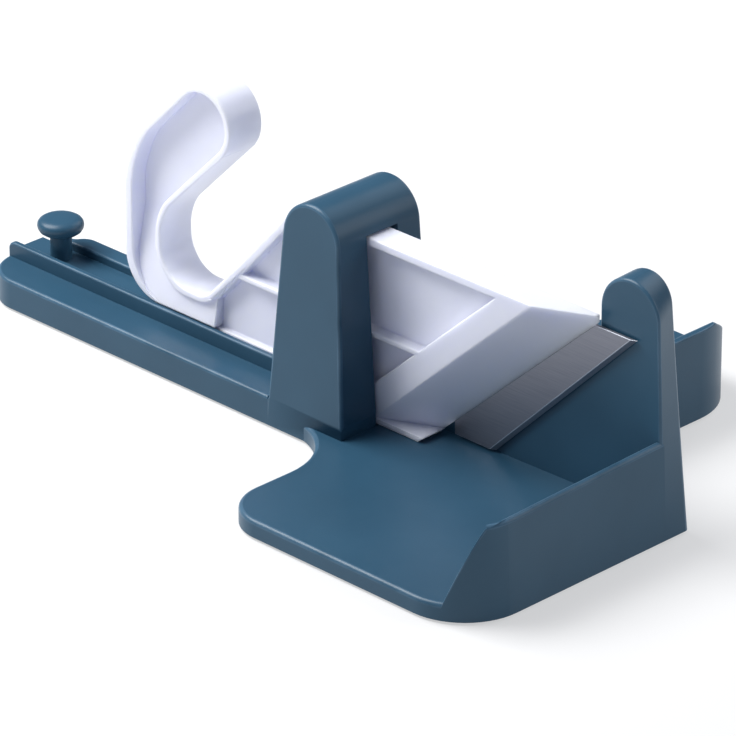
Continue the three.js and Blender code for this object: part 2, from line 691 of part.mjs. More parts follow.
// The corners of the hooked handle's outline, with its edges moved in by a rim and a rear rim.
function handleCorners(rim, rearRim) {
  const gripZ = HANDLE_HEIGHT - GRIP_RADIUS;
  const gripEdge = GRIP_RADIUS - rim;
  const tip = Math.SQRT2 * gripEdge;
  const rearX = HANDLE_REAR_X + rearRim;
  const backLine = gripZ - GRIP_X + tip;
  const gapLine = gripZ - GRIP_X - tip;
  const gapX = GAP_REAR_X - rim;
  const gapZ = GAP_LOW_Z - rim;
  return {
    rear: [rearX, backLine + rearX, HANDLE_BACK_RADIUS - rim],
    gripBack: [GRIP_X, backLine + GRIP_X, gripEdge],
    gripFront: [GRIP_X + tip, gripZ, gripEdge],
    gapRear: [gapX, gapLine + gapX, GAP_REAR_RADIUS + rim],
    gapFoot: [gapX, gapZ, GAP_FOOT_RADIUS + rim],
    gapLow: [GAP_LOW_X, gapZ],
  };
}

// Hooked handle: a rimmed bar that leans forward over the finger gap. Its pockets on both sides run out
// towards the foot.
function makeHandle() {
  const low = LIP_TOP + SLIDE_PLAY;
  const edge = handleCorners(0, 0);
  const stepTop = GAP_LOW_Z + (HANDLE_STEP_X - GAP_LOW_X) * rampSlope;
  const body = outline([
    [HANDLE_REAR_X, low, HANDLE_HEEL_RADIUS],
    [HANDLE_STEP_X, low],
    [HANDLE_STEP_X, stepTop],
    [...edge.gapLow, GAP_LOW_RADIUS],
    edge.gapFoot,
    edge.gapRear,
    edge.gripFront,
    edge.gripBack,
    edge.rear,
  ]);
  const inner = handleCorners(HANDLE_RIM, HANDLE_REAR_RIM);
  const inside = outline([
    [inner.rear[0], low, POCKET_HEEL_RADIUS],
    [inner.gapLow[0], low],
    inner.gapLow,
    inner.gapFoot,
    inner.gapRear,
    inner.gripFront,
    inner.gripBack,
    inner.rear,
  ]);
  const top = HANDLE_HEIGHT + CUT_MARGIN;
  const pocket = (face, web, outside) => {
    const ramp = outline([
      [outside, low],
      [face, low],
      [web, POCKET_RAMP_TOP],
      [web, top],
      [outside, top],
    ]);
    const depth = frontal(inside, Math.min(web, outside), Math.max(web, outside));
    return depth.intersect(endwise(ramp, HANDLE_REAR_X, HANDLE_REAR_X + HANDLE_HEIGHT));
  };
  return frontal(body, handleFront, handleBack)
    .subtract(pocket(handleFront, webFront, handleFront - CUT_MARGIN))
    .subtract(pocket(handleBack, webBack, handleBack + CUT_MARGIN));
}

// Where the blade's screws go, on the thick part of the plate behind the chamfer.
const BLADE_SCREWS = BLADE_SCREW_HEIGHTS.map((z) => [chamferLine(chamferBackX, z) - BLADE_SCREW_INSET, z]);

// A turned cut or screw that lies along Y, its half section given as [radius, Y].
function turnedAlongY(section, x, z) {
  const points = section.map(([radius, y]) => new THREE.Vector2(radius, y));
  const geometry = new THREE.LatheGeometry(points, ROUND_STEPS);
  return solid(geometry.translate(x, 0, z));
}

// The countersunk hole for a blade screw, through the blade and into the plate.
function bladeScrewHole([x, z]) {
  const head = BLADE_SCREW_HEAD_RADIUS + SCREW_PLAY;
  const shank = BLADE_SCREW_RADIUS + SCREW_PLAY;
  const section = [
    [0, bladeBack - BLADE_SCREW_LENGTH - SCREW_PLAY],
    [shank, bladeBack - BLADE_SCREW_LENGTH - SCREW_PLAY],
    [shank, bladeFront],
    [head, bladeBack],
    [head, bladeBack + CUT_MARGIN],
    [0, bladeBack + CUT_MARGIN],
  ];
  return turnedAlongY(section, x, z);
}

// A countersunk screw, flush with the back of the blade.
function bladeScrew([x, z]) {
  const face = bladeBack - SEAM;
  const section = [
    [0, bladeBack - BLADE_SCREW_LENGTH],
    [BLADE_SCREW_RADIUS, bladeBack - BLADE_SCREW_LENGTH + BLADE_SCREW_RADIUS / 2],
    [BLADE_SCREW_RADIUS, bladeFront],
    [BLADE_SCREW_HEAD_RADIUS, face],
    [0, face],
  ];
  const arm = BLADE_SCREW_HEAD_RADIUS * CROSS_ARM;
  const cut = BLADE_SCREW_HEAD_RADIUS * CROSS_HALF_WIDTH;
  const floor = bladeBack - BLADE_THICKNESS * CROSS_DEPTH;
  return turnedAlongY(section, x, z)
    .subtract(block([x - arm, floor, z - cut], [x + arm, bladeBack + CUT_MARGIN, z + cut]))
    .subtract(block([x - cut, floor, z - arm], [x + cut, bladeBack + CUT_MARGIN, z + arm]));
}

// Carriage: plate and handle in one moulding, drilled for the blade's screws.
function makeCarriage() {
  const body = makePlate().add(makeHandle());
  return BLADE_SCREWS.reduce((left, place) => left.subtract(bladeScrewHole(place)), body);
}

// Blade: a slanted steel strip, ground to an edge on its front face.
function makeBlade() {
  const slope = Math.tan(radians(BLADE_ANGLE));
  const top = BLADE_FOOT + BLADE_HEIGHT;
  const tipX = BLADE_EDGE_X + BLADE_HEIGHT / slope;
  const footX = BLADE_EDGE_X - BLADE_FOOT_WIDTH;
  const strip = outline([
    [footX, BLADE_FOOT],
    [BLADE_EDGE_X, BLADE_FOOT],
    [tipX, top],
    [tipX - BLADE_TOP_WIDTH, top],
    [footX, BLADE_FOOT + (BLADE_TOP_WIDTH - BLADE_FOOT_WIDTH) * slope],
  ]);
  const across = BLADE_BEVEL / Math.sin(radians(BLADE_ANGLE));
  const edgeY = bladeBack - BLADE_EDGE_THICKNESS;
  const rise = (edgeY - bladeFront) / across;
  const bevel = [BLADE_FOOT - CUT_MARGIN, top + CUT_MARGIN].flatMap((z) => {
    const edgeX = BLADE_EDGE_X + (z - BLADE_FOOT) / slope;
    return [
      new THREE.Vector3(edgeX - across, bladeFront, z),
      new THREE.Vector3(edgeX + CUT_MARGIN, edgeY + rise * CUT_MARGIN, z),
      new THREE.Vector3(edgeX + CUT_MARGIN, bladeFront - CUT_MARGIN, z),
      new THREE.Vector3(edgeX - across, bladeFront - CUT_MARGIN, z),
    ];
  });
  const body = frontal(strip, bladeFront, bladeBack).subtract(solid(new ConvexGeometry(bevel)));
  return BLADE_SCREWS.reduce((left, place) => left.subtract(bladeScrewHole(place)), body);
}

// Rubber foot: a pad with a plug that presses up into its socket.
function makeFoot([x, y]) {
  const seat = FOOT_RECESS - SEAM;
  const section = [
    [0, -FOOT_STANDOFF],
    [FOOT_RADIUS - FOOT_STANDOFF / 2, -FOOT_STANDOFF],
    [FOOT_RADIUS, -FOOT_STANDOFF / 2],
    [FOOT_RADIUS, seat],
    [FOOT_PLUG_RADIUS, seat],
    [FOOT_PLUG_RADIUS, FOOT_RECESS + FOOT_PLUG_LENGTH - FOOT_PLUG_CHAMFER],
    [FOOT_PLUG_RADIUS - FOOT_PLUG_CHAMFER, FOOT_RECESS + FOOT_PLUG_LENGTH],
    [0, FOOT_RECESS + FOOT_PLUG_LENGTH],
  ];
  return turned(section, x, y);
}

const slatePlastic = new THREE.MeshStandardMaterial({ color: 0x46607a, roughness: 0.48, metalness: 0 });
const whitePlastic = new THREE.MeshStandardMaterial({ color: 0xf0f0f6, roughness: 0.35, metalness: 0 });
const bladeSteel = new THREE.MeshStandardMaterial({ color: 0x8d8d94, roughness: 0.3, metalness: 1 });
const screwSteel = new THREE.MeshStandardMaterial({ color: 0xb4b6ba, roughness: 0.35, metalness: 1 });
const footRubber = new THREE.MeshStandardMaterial({ color: 0x1d1f22, roughness: 0.8, metalness: 0 });

const assembly = new THREE.Group();
assembly.position.set(-trayRight / 2, (TRAY_REACH - feedBack) / 2, FOOT_STANDOFF);

// Puts a named piece, with a material of its own, into the assembly.
function place(name, body, material) {
  const mesh = new THREE.Mesh(geometryOf(body), material.clone());
  mesh.name = name;
  assembly.add(mesh);
}

place("guide_rail", makeRail(), slatePlastic);
place("bridge", makeBridge(), slatePlastic);
place("slice_tray", makeSliceTray(), slatePlastic);
place("end_wall", makeEndWall(), slatePlastic);
place("feed_tray", makeFeedTray(), slatePlastic);
place("stop_knob", makeKnob(), slatePlastic);
place("carriage", makeCarriage(), whitePlastic);
place("blade", makeBlade(), bladeSteel);
BLADE_SCREWS.forEach((at, i) => place(`blade_screw_${i + 1}`, bladeScrew(at), screwSteel));
BRIDGE_SCREWS.forEach((at, i) => {
  place(`bridge_screw_${i + 1}`, baseScrew(at, LEDGE_HEIGHT, BRIDGE_SCREW_GRIP), screwSteel);
});
WALL_SCREWS.forEach((at, i) => {
  place(`end_wall_screw_${i + 1}`, baseScrew(at, TRAY_FLOOR, WALL_SCREW_GRIP), screwSteel);
});
Object.entries(FEET).forEach(([name, at]) => place(name, makeFoot(at), footRubber));

const slicer = new THREE.Group();
slicer.add(assembly);

export default slicer;
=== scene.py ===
import math

import bmesh
import bpy
from mathutils import Matrix, Vector


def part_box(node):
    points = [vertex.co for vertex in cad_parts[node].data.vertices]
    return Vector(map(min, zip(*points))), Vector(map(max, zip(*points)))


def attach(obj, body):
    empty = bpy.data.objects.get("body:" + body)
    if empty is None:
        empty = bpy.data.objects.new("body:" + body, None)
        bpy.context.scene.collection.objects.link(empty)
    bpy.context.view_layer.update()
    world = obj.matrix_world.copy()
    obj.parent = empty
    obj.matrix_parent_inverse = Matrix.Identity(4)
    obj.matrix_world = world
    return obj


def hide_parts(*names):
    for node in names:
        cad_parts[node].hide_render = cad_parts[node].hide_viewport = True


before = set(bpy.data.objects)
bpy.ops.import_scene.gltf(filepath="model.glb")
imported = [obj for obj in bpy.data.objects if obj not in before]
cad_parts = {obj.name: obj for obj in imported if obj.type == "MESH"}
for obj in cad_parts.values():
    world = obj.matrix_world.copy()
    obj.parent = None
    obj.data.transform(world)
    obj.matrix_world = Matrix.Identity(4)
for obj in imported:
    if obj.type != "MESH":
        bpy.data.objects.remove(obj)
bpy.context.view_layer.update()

# Guide rail
# The long plinth that the carriage slides on, injection moulded in slate-blue plastic. A thin lip in
# front and a thicker curb behind leave a channel between them, and it stands on the table by two feet.
MM = 0.001
ACROSS, DEEP, UP = Vector((1, 0, 0)), Vector((0, 1, 0)), Vector((0, 0, 1))
ARC_STEPS, PIN_SIDES = 14, 48
# Places within NEAR count as one, and places CLEAR of each other as apart. Cutting solids reach OVER past
# what they cut, what grows out of the plinth starts at ROOT inside it, and points within MERGE are joined.
NEAR, CLEAR, OVER, ROOT, MERGE = 0.01, 0.1, 1, 1, 0.001
RAIL_FRONT_CORNER, RAIL_CORNER, RAIL_WIDTH, LEDGE_HEIGHT = 20.5, 18, 54, 13.4
LIP_REAR, LIP_FRONT, LIP_BACK, LIP_TOP, LIP_END = 0.25, 17.6, 20.6, 20.4, 3.5
CHANNEL_BACK, CHANNEL_FLOOR, LOW_FLOOR, LOW_FLOOR_X = 37.4, 15.7, 7.7, 162.5
CURB_BACK, CURB_REAR, CURB_CORNER, CURB_TOP = 46.4, 18, 8, 19.6
LEDGE_EDGE, LIP_EDGE, CHANNEL_EDGE, CURB_EDGE = 1.5, 0.9, 0.9, 1.0
BRIDGE_REAR, WALL = 182.5, 3
KNOB_X, KNOB_Y, PIN_HOLE_RADIUS, PIN_HOLE_FOOT = 22.4, 29, 3.3, 3.4
FOOT_SOCKET, FOOT_BOSS, FOOT_RECESS = 7.7, 10.5, 1.5
SCREW_BORE, SCREW_HEAD_ROOM = 3.8, 2.3

# All sizes are millimetres from the plinth's rear corner, on the underside of the mouldings.
rail_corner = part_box("guide_rail")[0]


def flat(corners, across, up):
    """A face through corners (across, up) or (across, up, radius), rounded where a radius is given."""
    bm = bmesh.new()
    verts = [bm.verts.new(across * corner[0] + up * corner[1]) for corner in corners]
    bm.faces.new(verts)
    spots = [vert.co.copy() for vert in verts]
    for i, corner in enumerate(corners):
        if len(corner) == 3:
            back = spots[i - 1] - spots[i]
            ahead = spots[(i + 1) % len(spots)] - spots[i]
            reach = corner[2] / math.tan(back.angle(ahead) / 2)
            bmesh.ops.bevel(
                bm, geom=[verts[i]], offset=reach, offset_type="OFFSET", segments=ARC_STEPS,
                profile=0.5, affect="VERTICES", material=-1, clamp_overlap=False,
            )
    return bm


def deepen(bm, way):
    """Extrudes a flat face along a vector into a closed solid."""
    made = bmesh.ops.extrude_face_region(bm, geom=bm.faces[:])["geom"]
    bmesh.ops.translate(bm, vec=way, verts=[item for item in made if isinstance(item, bmesh.types.BMVert)])
    bmesh.ops.recalc_face_normals(bm, faces=bm.faces[:])
    return bm


def standing(corners, low, high):
    """A solid with an outline seen from above, from one height to another."""
    bm = flat(corners, ACROSS, DEEP)
    bmesh.ops.translate(bm, vec=UP * low, verts=bm.verts[:])
    return deepen(bm, UP * (high - low))


def facing(corners, near, far):
    """A solid with an outline seen from the front, from one depth to another."""
    bm = flat(corners, ACROSS, UP)
    bmesh.ops.translate(bm, vec=DEEP * near, verts=bm.verts[:])
    return deepen(bm, DEEP * (far - near))


def block(low, high):
    """A block between two opposite corners."""
    return standing(
        [(low[0], low[1]), (high[0], low[1]), (high[0], high[1]), (low[0], high[1])], low[2], high[2]
    )


def pin(radius, x, y, low, high):
    """An upright round pin or hole."""
    bm = bmesh.new()
    bmesh.ops.create_cone(
        bm, cap_ends=True, segments=PIN_SIDES, radius1=radius, radius2=radius, depth=high - low,
        matrix=Matrix.Translation((x, y, (low + high) / 2)),
    )
    return bm


def soften(bm, width, chosen=lambda edge: True, segments=4, sharp=25):
    """Rounds the chosen ones of a solid's sharp edges, as a mould's radii do, and marks their faces for a
    lighter edge colour that is partly wear and partly a painted highlight.
    """
    wear_and_sheen = bm.faces.layers.float.get("wear_and_sheen") or bm.faces.layers.float.new("wear_and_sheen")
    edges = [
        edge for edge in bm.edges
        if edge.is_manifold and edge.calc_face_angle() > math.radians(sharp) and chosen(edge)
    ]
    made = bmesh.ops.bevel(
        bm, geom=edges, offset=width, offset_type="OFFSET", segments=segments, profile=0.5,
        affect="EDGES", material=-1, clamp_overlap=False, loop_slide=True,
    )
    for face in made["faces"]:
        face[wear_and_sheen] = 1
    return bm


def middle(edge):
    """The midpoint of an edge."""
    return (edge.verts[0].co + edge.verts[1].co) / 2


def level(height):
    """Picks the edges that lie at one height."""
    return lambda edge: all(abs(vert.co.z - height) < NEAR for vert in edge.verts)


def combine(body, tool, operation):
    """Joins a solid with another, cuts it by another or keeps what is inside another."""
    objects = []
    for bm in (body, tool):
        mesh = bpy.data.meshes.new("shape")
        bm.to_mesh(mesh)
        bm.free()
        objects.append(bpy.data.objects.new("shape", mesh))
        bpy.context.scene.collection.objects.link(objects[-1])
    step = objects[0].modifiers.new("step", "BOOLEAN")
    step.operation = operation
    step.object = objects[1]
    step.solver = "EXACT"
    made = bmesh.new()
    made.from_object(objects[0], bpy.context.evaluated_depsgraph_get())
    for item in objects:
        mesh = item.data
        bpy.data.objects.remove(item)
        bpy.data.meshes.remove(mesh)
    bmesh.ops.remove_doubles(made, verts=made.verts[:], dist=MERGE)
    bmesh.ops.dissolve_degenerate(made, edges=made.edges[:], dist=MERGE)
    return made


def join(body, *tools):
    """One solid from several."""
    for tool in tools:
        body = combine(body, tool, "UNION")
    return body


def cut(body, *tools):
    """A solid with others cut away from it."""
    for tool in tools:
        body = combine(body, tool, "DIFFERENCE")
    return body


def piece(name, bm, finish, body, slot, *nodes, smooth=40):
    """A finished piece at its place in the frame, in metres, riding on a body in place of its CAD nodes."""
    bmesh.ops.scale(bm, vec=Vector((MM, MM, MM)), verts=bm.verts[:])
    bmesh.ops.translate(bm, vec=rail_corner, verts=bm.verts[:])
    mesh = bpy.data.meshes.new(name)
    bm.to_mesh(mesh)
    bm.free()
    mesh.shade_smooth()
    mesh.set_sharp_from_angle(angle=math.radians(smooth))
    mesh.materials.append(finish)
    made = bpy.data.objects.new(name, mesh)
    bpy.context.scene.collection.objects.link(made)
    even = made.modifiers.new("even shading", "WEIGHTED_NORMAL")
    even.keep_sharp = True
    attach(made, body)
    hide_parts(*nodes)
    return made


def spot_of(node):
    """Where the middle of a CAD node is in plan and how high its low end is, in millimetres."""
    low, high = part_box(node)
    centre = (Vector(low) + Vector(high)) / 2 - Vector(rail_corner)
    return centre.x / MM, centre.y / MM, (low[2] - rail_corner[2]) / MM


def underside(bm, plan, ceiling, feet, screws):
    """A moulding hollowed from below to thin walls, with sockets for its feet and bores for its screws."""
    if plan:
        space = standing(plan, -OVER, ceiling)
        for foot in feet:
            x, y, _ = spot_of(foot)
            space = cut(space, pin(FOOT_BOSS, x, y, -2 * OVER, ceiling + OVER))
        bm = cut(bm, space)
    for foot in feet:
        x, y, _ = spot_of(foot)
        bm = cut(bm, pin(FOOT_SOCKET, x, y, -OVER, FOOT_RECESS))
    for screw in screws:
        x, y, low = spot_of(screw)
        bm = cut(bm, pin(SCREW_BORE, x, y, -OVER, low + SCREW_HEAD_ROOM))
    return bm


class Socket:
    """An output of a material's nodes, on which arithmetic adds Math nodes."""

    def __init__(self, finish, link):
        self.finish = finish
        self.link = link

    def maths(self, operation, first, second):
        return self.finish.node("ShaderNodeMath", {"operation": operation}, {0: first, 1: second})

    def __add__(self, other):
        return self.maths("ADD", self, other)

    def __sub__(self, other):
        return self.maths("SUBTRACT", self, other)

    def __rsub__(self, other):
        return self.maths("SUBTRACT", other, self)

    def __mul__(self, other):
        return self.maths("MULTIPLY", self, other)

    __radd__ = __add__
    __rmul__ = __mul__


class Finish:
    """A material that is put together node by node."""

    def __init__(self, name, **constants):
        self.material = bpy.data.materials.new(name)
        self.material.use_nodes = True
        self.tree = self.material.node_tree
        self.shader = self.tree.nodes["Principled BSDF"]
        for socket, value in constants.items():
            self.shader.inputs[socket.replace("_", " ")].default_value = value

    def node(self, kind, settings, sockets, output=0):
        """Any node: its settings are set first, then its sockets are linked or given values."""
        made = self.tree.nodes.new(kind)
        for name, value in settings.items():
            if name == "stops":
                for element, (place, shade) in zip(made.color_ramp.elements, value):
                    element.position = place
                    element.color = shade
            else:
                setattr(made, name, value)
        for name, value in sockets.items():
            if isinstance(value, Socket):
                self.tree.links.new(value.link, made.inputs[name])
            else:
                made.inputs[name].default_value = value
        return Socket(self, made.outputs[output])

    def place(self, turn=(0, 0, 0), stretch=(1, 1, 1)):
        """Where a point is on the piece, turned and stretched for a pattern."""
        spot = self.node("ShaderNodeTexCoord", {}, {}, "Object")
        return self.node("ShaderNodeMapping", {}, {"Vector": spot, "Rotation": turn, "Scale": stretch})

    def noise(self, scale, detail=3.0, **where):
        """A cloudy pattern from 0 to 1, its scale in grains per metre."""
        sockets = {"Vector": self.place(**where), "Scale": scale, "Detail": detail}
        return self.node("ShaderNodeTexNoise", {}, sockets)

    def mix(self, share, first, second):
        """A colour between two."""
        return self.node(
            "ShaderNodeMix", {"data_type": "RGBA"}, {0: share, 6: first, 7: second}, 2
        )

    def ramp(self, value, low, high):
        """A value as a share of the way from low to high, kept within 0 and 1."""
        stops = [(low, (0, 0, 0, 1)), (high, (1, 1, 1, 1))]
        return self.node("ShaderNodeValToRGB", {"stops": stops}, {"Fac": value})

    def bump(self, height, depth, strength):
        """A surface that rises and falls by a depth in metres."""
        return self.node("ShaderNodeBump", {}, {"Height": height, "Distance": depth, "Strength": strength})

    def wear_and_sheen(self):
        """1 on the rounded edges of a piece, which take a colour that is partly wear and partly a painted
        highlight, 0 elsewhere.
        """
        return self.node("ShaderNodeAttribute", {"attribute_name": "wear_and_sheen"}, {}, "Fac")

    def feed(self, **sockets):
        """Links what varies over the surface to the shader."""
        for name, value in sockets.items():
            self.tree.links.new(value.link, self.shader.inputs[name.replace("_", " ")])
        return self.material


# Patterns of the plastics in grains per metre, how much each one shows, and the grain's depth in metres.
CLOUD_SCALE, RUB_AND_SHEEN_SCALE, HAND_SCALE, PEEL_SCALE, GRAIN_SCALE = 22, 45, 70, 900, 3200
RUB_AND_SHEEN_SHARE, RUB_GLOSS, HAND_GLOSS, PEEL_SHARE = 0.45, 0.06, 0.1, 0.6
GRAIN_DEPTH, GRAIN_STRENGTH, PLASTIC_IOR = 0.00004, 0.35, 1.5
# The rubbed colours lighten the rounded edges. This is partly wear from use and partly a painted highlight
# along them.
SLATE_DARK, SLATE_LIGHT = (0.022, 0.070, 0.118, 1), (0.027, 0.082, 0.136, 1)
SLATE_RUBBED_AND_SHEEN, SLATE_ROUGHNESS, SLATE_SHINE = (0.12, 0.22, 0.32, 1), 0.36, 0.3


def moulded_plastic(name, dark, light, rubbed_and_sheen, roughness, **constants):
    """Moulded plastic: faint clouds of colour, a fine spark-eroded grain, and lighter edges, partly rubbed
    by use and partly a painted highlight.
    """
    finish = Finish(name, IOR=PLASTIC_IOR, **constants)
    clouds = finish.ramp(finish.noise(CLOUD_SCALE), low=0.3, high=0.7)
    # Lighter colour on the rounded edges, partly rubbing in use and partly a painted highlight.
    rubbing_and_sheen = finish.wear_and_sheen() * finish.ramp(finish.noise(RUB_AND_SHEEN_SCALE), low=0.3, high=0.75)
    colour = finish.mix(rubbing_and_sheen * RUB_AND_SHEEN_SHARE, finish.mix(clouds, dark, light), rubbed_and_sheen)
    grain = finish.noise(GRAIN_SCALE, detail=2.0)
    handling = finish.noise(HAND_SCALE, detail=4.0)
    return finish.feed(
        Base_Color=colour,
        Roughness=roughness + HAND_GLOSS * (handling - 0.5) - RUB_GLOSS * rubbing_and_sheen,
        Normal=finish.bump(grain + PEEL_SHARE * finish.noise(PEEL_SCALE), GRAIN_DEPTH, GRAIN_STRENGTH),
    )


slate = moulded_plastic(
    "slate plastic", SLATE_DARK, SLATE_LIGHT, SLATE_RUBBED_AND_SHEEN, SLATE_ROUGHNESS, Specular_IOR_Level=SLATE_SHINE
)

plinth = soften(
    standing(
        [
            (0, 0, RAIL_FRONT_CORNER), (BRIDGE_REAR, 0),
            (BRIDGE_REAR, RAIL_WIDTH), (0, RAIL_WIDTH, RAIL_CORNER),
        ],
        0, LEDGE_HEIGHT,
    ),
    LEDGE_EDGE, level(LEDGE_HEIGHT),
)
lip = soften(
    facing(
        [(LIP_REAR, ROOT), (BRIDGE_REAR, ROOT), (BRIDGE_REAR, LIP_TOP), (LIP_REAR, LIP_TOP, LIP_END)],
        LIP_FRONT, LIP_BACK,
    ),
    LIP_EDGE, lambda edge: middle(edge).z > ROOT + CLEAR,
)
channel = soften(
    block((0, LIP_BACK - OVER, ROOT), (LOW_FLOOR_X, CHANNEL_BACK + OVER, CHANNEL_FLOOR)),
    CHANNEL_EDGE, level(CHANNEL_FLOOR),
)
curb = soften(
    standing(
        [
            (CURB_REAR, CHANNEL_BACK), (BRIDGE_REAR, CHANNEL_BACK),
            (BRIDGE_REAR, CURB_BACK), (CURB_REAR, CURB_BACK, CURB_CORNER),
        ],
        ROOT, CURB_TOP,
    ),
    CURB_EDGE, level(CURB_TOP),
)
rail = cut(
    plinth,
    block((LOW_FLOOR_X, LIP_BACK, LOW_FLOOR), (BRIDGE_REAR + OVER, CHANNEL_BACK, LIP_TOP + OVER)),
)
rail = join(rail, lip, channel, curb)
rail_hollow = [
    (WALL, WALL, RAIL_CORNER - WALL), (LOW_FLOOR_X - WALL, WALL),
    (LOW_FLOOR_X - WALL, RAIL_WIDTH - WALL), (WALL, RAIL_WIDTH - WALL, RAIL_CORNER - WALL),
]
rail = underside(rail, rail_hollow, LEDGE_HEIGHT - WALL, ("foot_rail_front", "foot_rail_back"), ())
rail = join(rail, pin(PIN_HOLE_RADIUS + WALL, KNOB_X, KNOB_Y, 0, LEDGE_HEIGHT))
rail = cut(rail, pin(PIN_HOLE_RADIUS, KNOB_X, KNOB_Y, PIN_HOLE_FOOT, LIP_TOP))
piece("guide_rail_moulding", rail, slate, "base", "slate_plastic", "guide_rail")

# Bridge
# The arched block that holds the carriage upright, in the same slate-blue plastic, screwed on from below.
# It narrows to a round top, leans in a little, and has a tall slot that the carriage's plate runs through.
BRIDGE_FRONT, BRIDGE_MIDDLE, BRIDGE_TOP = 226.5, 204.5, 107
ARCH_RADIUS, ARCH_CORNER, BRIDGE_EDGE = 16.2, 15.45, 1.6
FOOT_FLARE = (BRIDGE_FRONT - BRIDGE_MIDDLE - ARCH_CORNER) * LEDGE_HEIGHT / (BRIDGE_TOP - LEDGE_HEIGHT)
FRONT_LEAN, BACK_LEAN, OUTLINE_LEAN = 4.6, 1.5, 8
SLOT_FRONT, SLOT_BACK, SLOT_TOP = 20.6, 38.9, 93.4


def split(bm, spot, way, **options):
    """Cuts a solid's faces along a plane, and gives the points and edges on the cut."""
    geom = bm.verts[:] + bm.edges[:] + bm.faces[:]
    return bmesh.ops.bisect_plane(bm, geom=geom, plane_co=spot, plane_no=way, **options)["geom_cut"]


def span(edge):
    """How far an edge reaches along each axis."""
    reach = edge.verts[0].co - edge.verts[1].co
    return Vector((abs(reach.x), abs(reach.y), abs(reach.z)))


bridge = facing(
    [
        (BRIDGE_REAR - FOOT_FLARE, 0), (BRIDGE_FRONT + FOOT_FLARE, 0),
        (BRIDGE_MIDDLE + ARCH_CORNER, BRIDGE_TOP, ARCH_RADIUS),
        (BRIDGE_MIDDLE - ARCH_CORNER, BRIDGE_TOP, ARCH_RADIUS),
    ],
    0, RAIL_WIDTH,
)
split(bridge, UP * LEDGE_HEIGHT, UP)
for vert in bridge.verts:
    rise = max(0, vert.co.z - LEDGE_HEIGHT) / (BRIDGE_TOP - LEDGE_HEIGHT)
    vert.co.y += FRONT_LEAN * rise if vert.co.y < RAIL_WIDTH / 2 else -BACK_LEAN * rise
    if vert.co.z < NEAR:
        vert.co.x = BRIDGE_REAR if vert.co.x < BRIDGE_MIDDLE else BRIDGE_FRONT
soften(
    bridge, BRIDGE_EDGE,
    lambda edge: span(edge).y < OUTLINE_LEAN and middle(edge).z > LEDGE_HEIGHT + CLEAR,
)
bridge = cut(
    bridge,
    block((BRIDGE_REAR - OVER, SLOT_FRONT, LOW_FLOOR), (BRIDGE_FRONT + OVER, SLOT_BACK, SLOT_TOP)),
)
bridge = underside(bridge, (), 0, (), [f"bridge_screw_{i}" for i in (1, 2, 3, 4)])
piece("bridge_moulding", bridge, slate, "base", "slate_plastic", "bridge")

# Slice tray
# The low tray that catches the slices, in slate-blue plastic. Its floor is level with the slot's, its
# front corners are round, and a wall rises along the far side with a sloping inner face.
TRAY_LEFT, TRAY_RIGHT, TRAY_FRONT, TRAY_FLOOR = 230.5, 373, -76, LOW_FLOOR
LEFT_CORNER, RIGHT_CORNER, TRAY_FILLET, TUCK, TONGUE = 22, 29, 35.2, 1.2, 2
END_WALL_FRONT, END_WALL_BACK, TRAY_REACH = 38.65, 53.85, 2
WALL_RIM, WALL_TOP, WALL_FOOT_STEP = 369.6, 44.3, 4
DRAFT, HOLLOW_CORNER, TRAY_EDGE, STEEP = 0.043, 8.5, 1.8, 30
RIM_DROP, RIM_STRIPS = 3.2, 9
RAMP_LEFT, RAMP_RIGHT, RAMP_FRONT, RAMP_LOW, RAMP_RISE, RAMP_REACH = 250, 358, 13, 6, 2.4, 1
# The wall's foot meets the round corner at a step of its arc, so that no sliver is left between them.
WALL_FOOT = TRAY_RIGHT - RIGHT_CORNER * (1 - math.sin(math.pi / 2 * WALL_FOOT_STEP / ARC_STEPS))

tray_back, tongue_end = END_WALL_FRONT + TRAY_REACH, TRAY_LEFT - TRAY_FILLET - TONGUE
tray_plan = [
    (BRIDGE_FRONT - TUCK, tray_back), (BRIDGE_FRONT - TUCK, 2 * TUCK),
    (tongue_end, 2 * TUCK), (tongue_end, TUCK),
    (TRAY_LEFT, TUCK, TRAY_FILLET), (TRAY_LEFT, TRAY_FRONT, LEFT_CORNER),
    (TRAY_RIGHT, TRAY_FRONT, RIGHT_CORNER), (TRAY_RIGHT, tray_back),
]
wall_lean = (WALL_RIM - WALL_FOOT) / (WALL_TOP - TRAY_FLOOR)
tray = cut(
    standing(tray_plan, 0, WALL_TOP),
    facing(
        [
            (BRIDGE_REAR, TRAY_FLOOR), (WALL_FOOT, TRAY_FLOOR),
            (WALL_RIM + wall_lean * OVER, WALL_TOP + OVER), (BRIDGE_REAR, WALL_TOP + OVER),
        ],
        TRAY_FRONT - OVER, tray_back + OVER,
    ),
)


def tray_edge(edge):
    """Picks the tray's outer top edges and its wall's rim."""
    spot = middle(edge)
    crease = level(TRAY_FLOOR)(edge) and abs(spot.x - WALL_FOOT) < NEAR
    outside = spot.y < TUCK - CLEAR and not crease
    on_rim = spot.z > WALL_TOP - CLEAR
    return spot.z > CLEAR and span(edge).z < STEEP and (outside or on_rim)


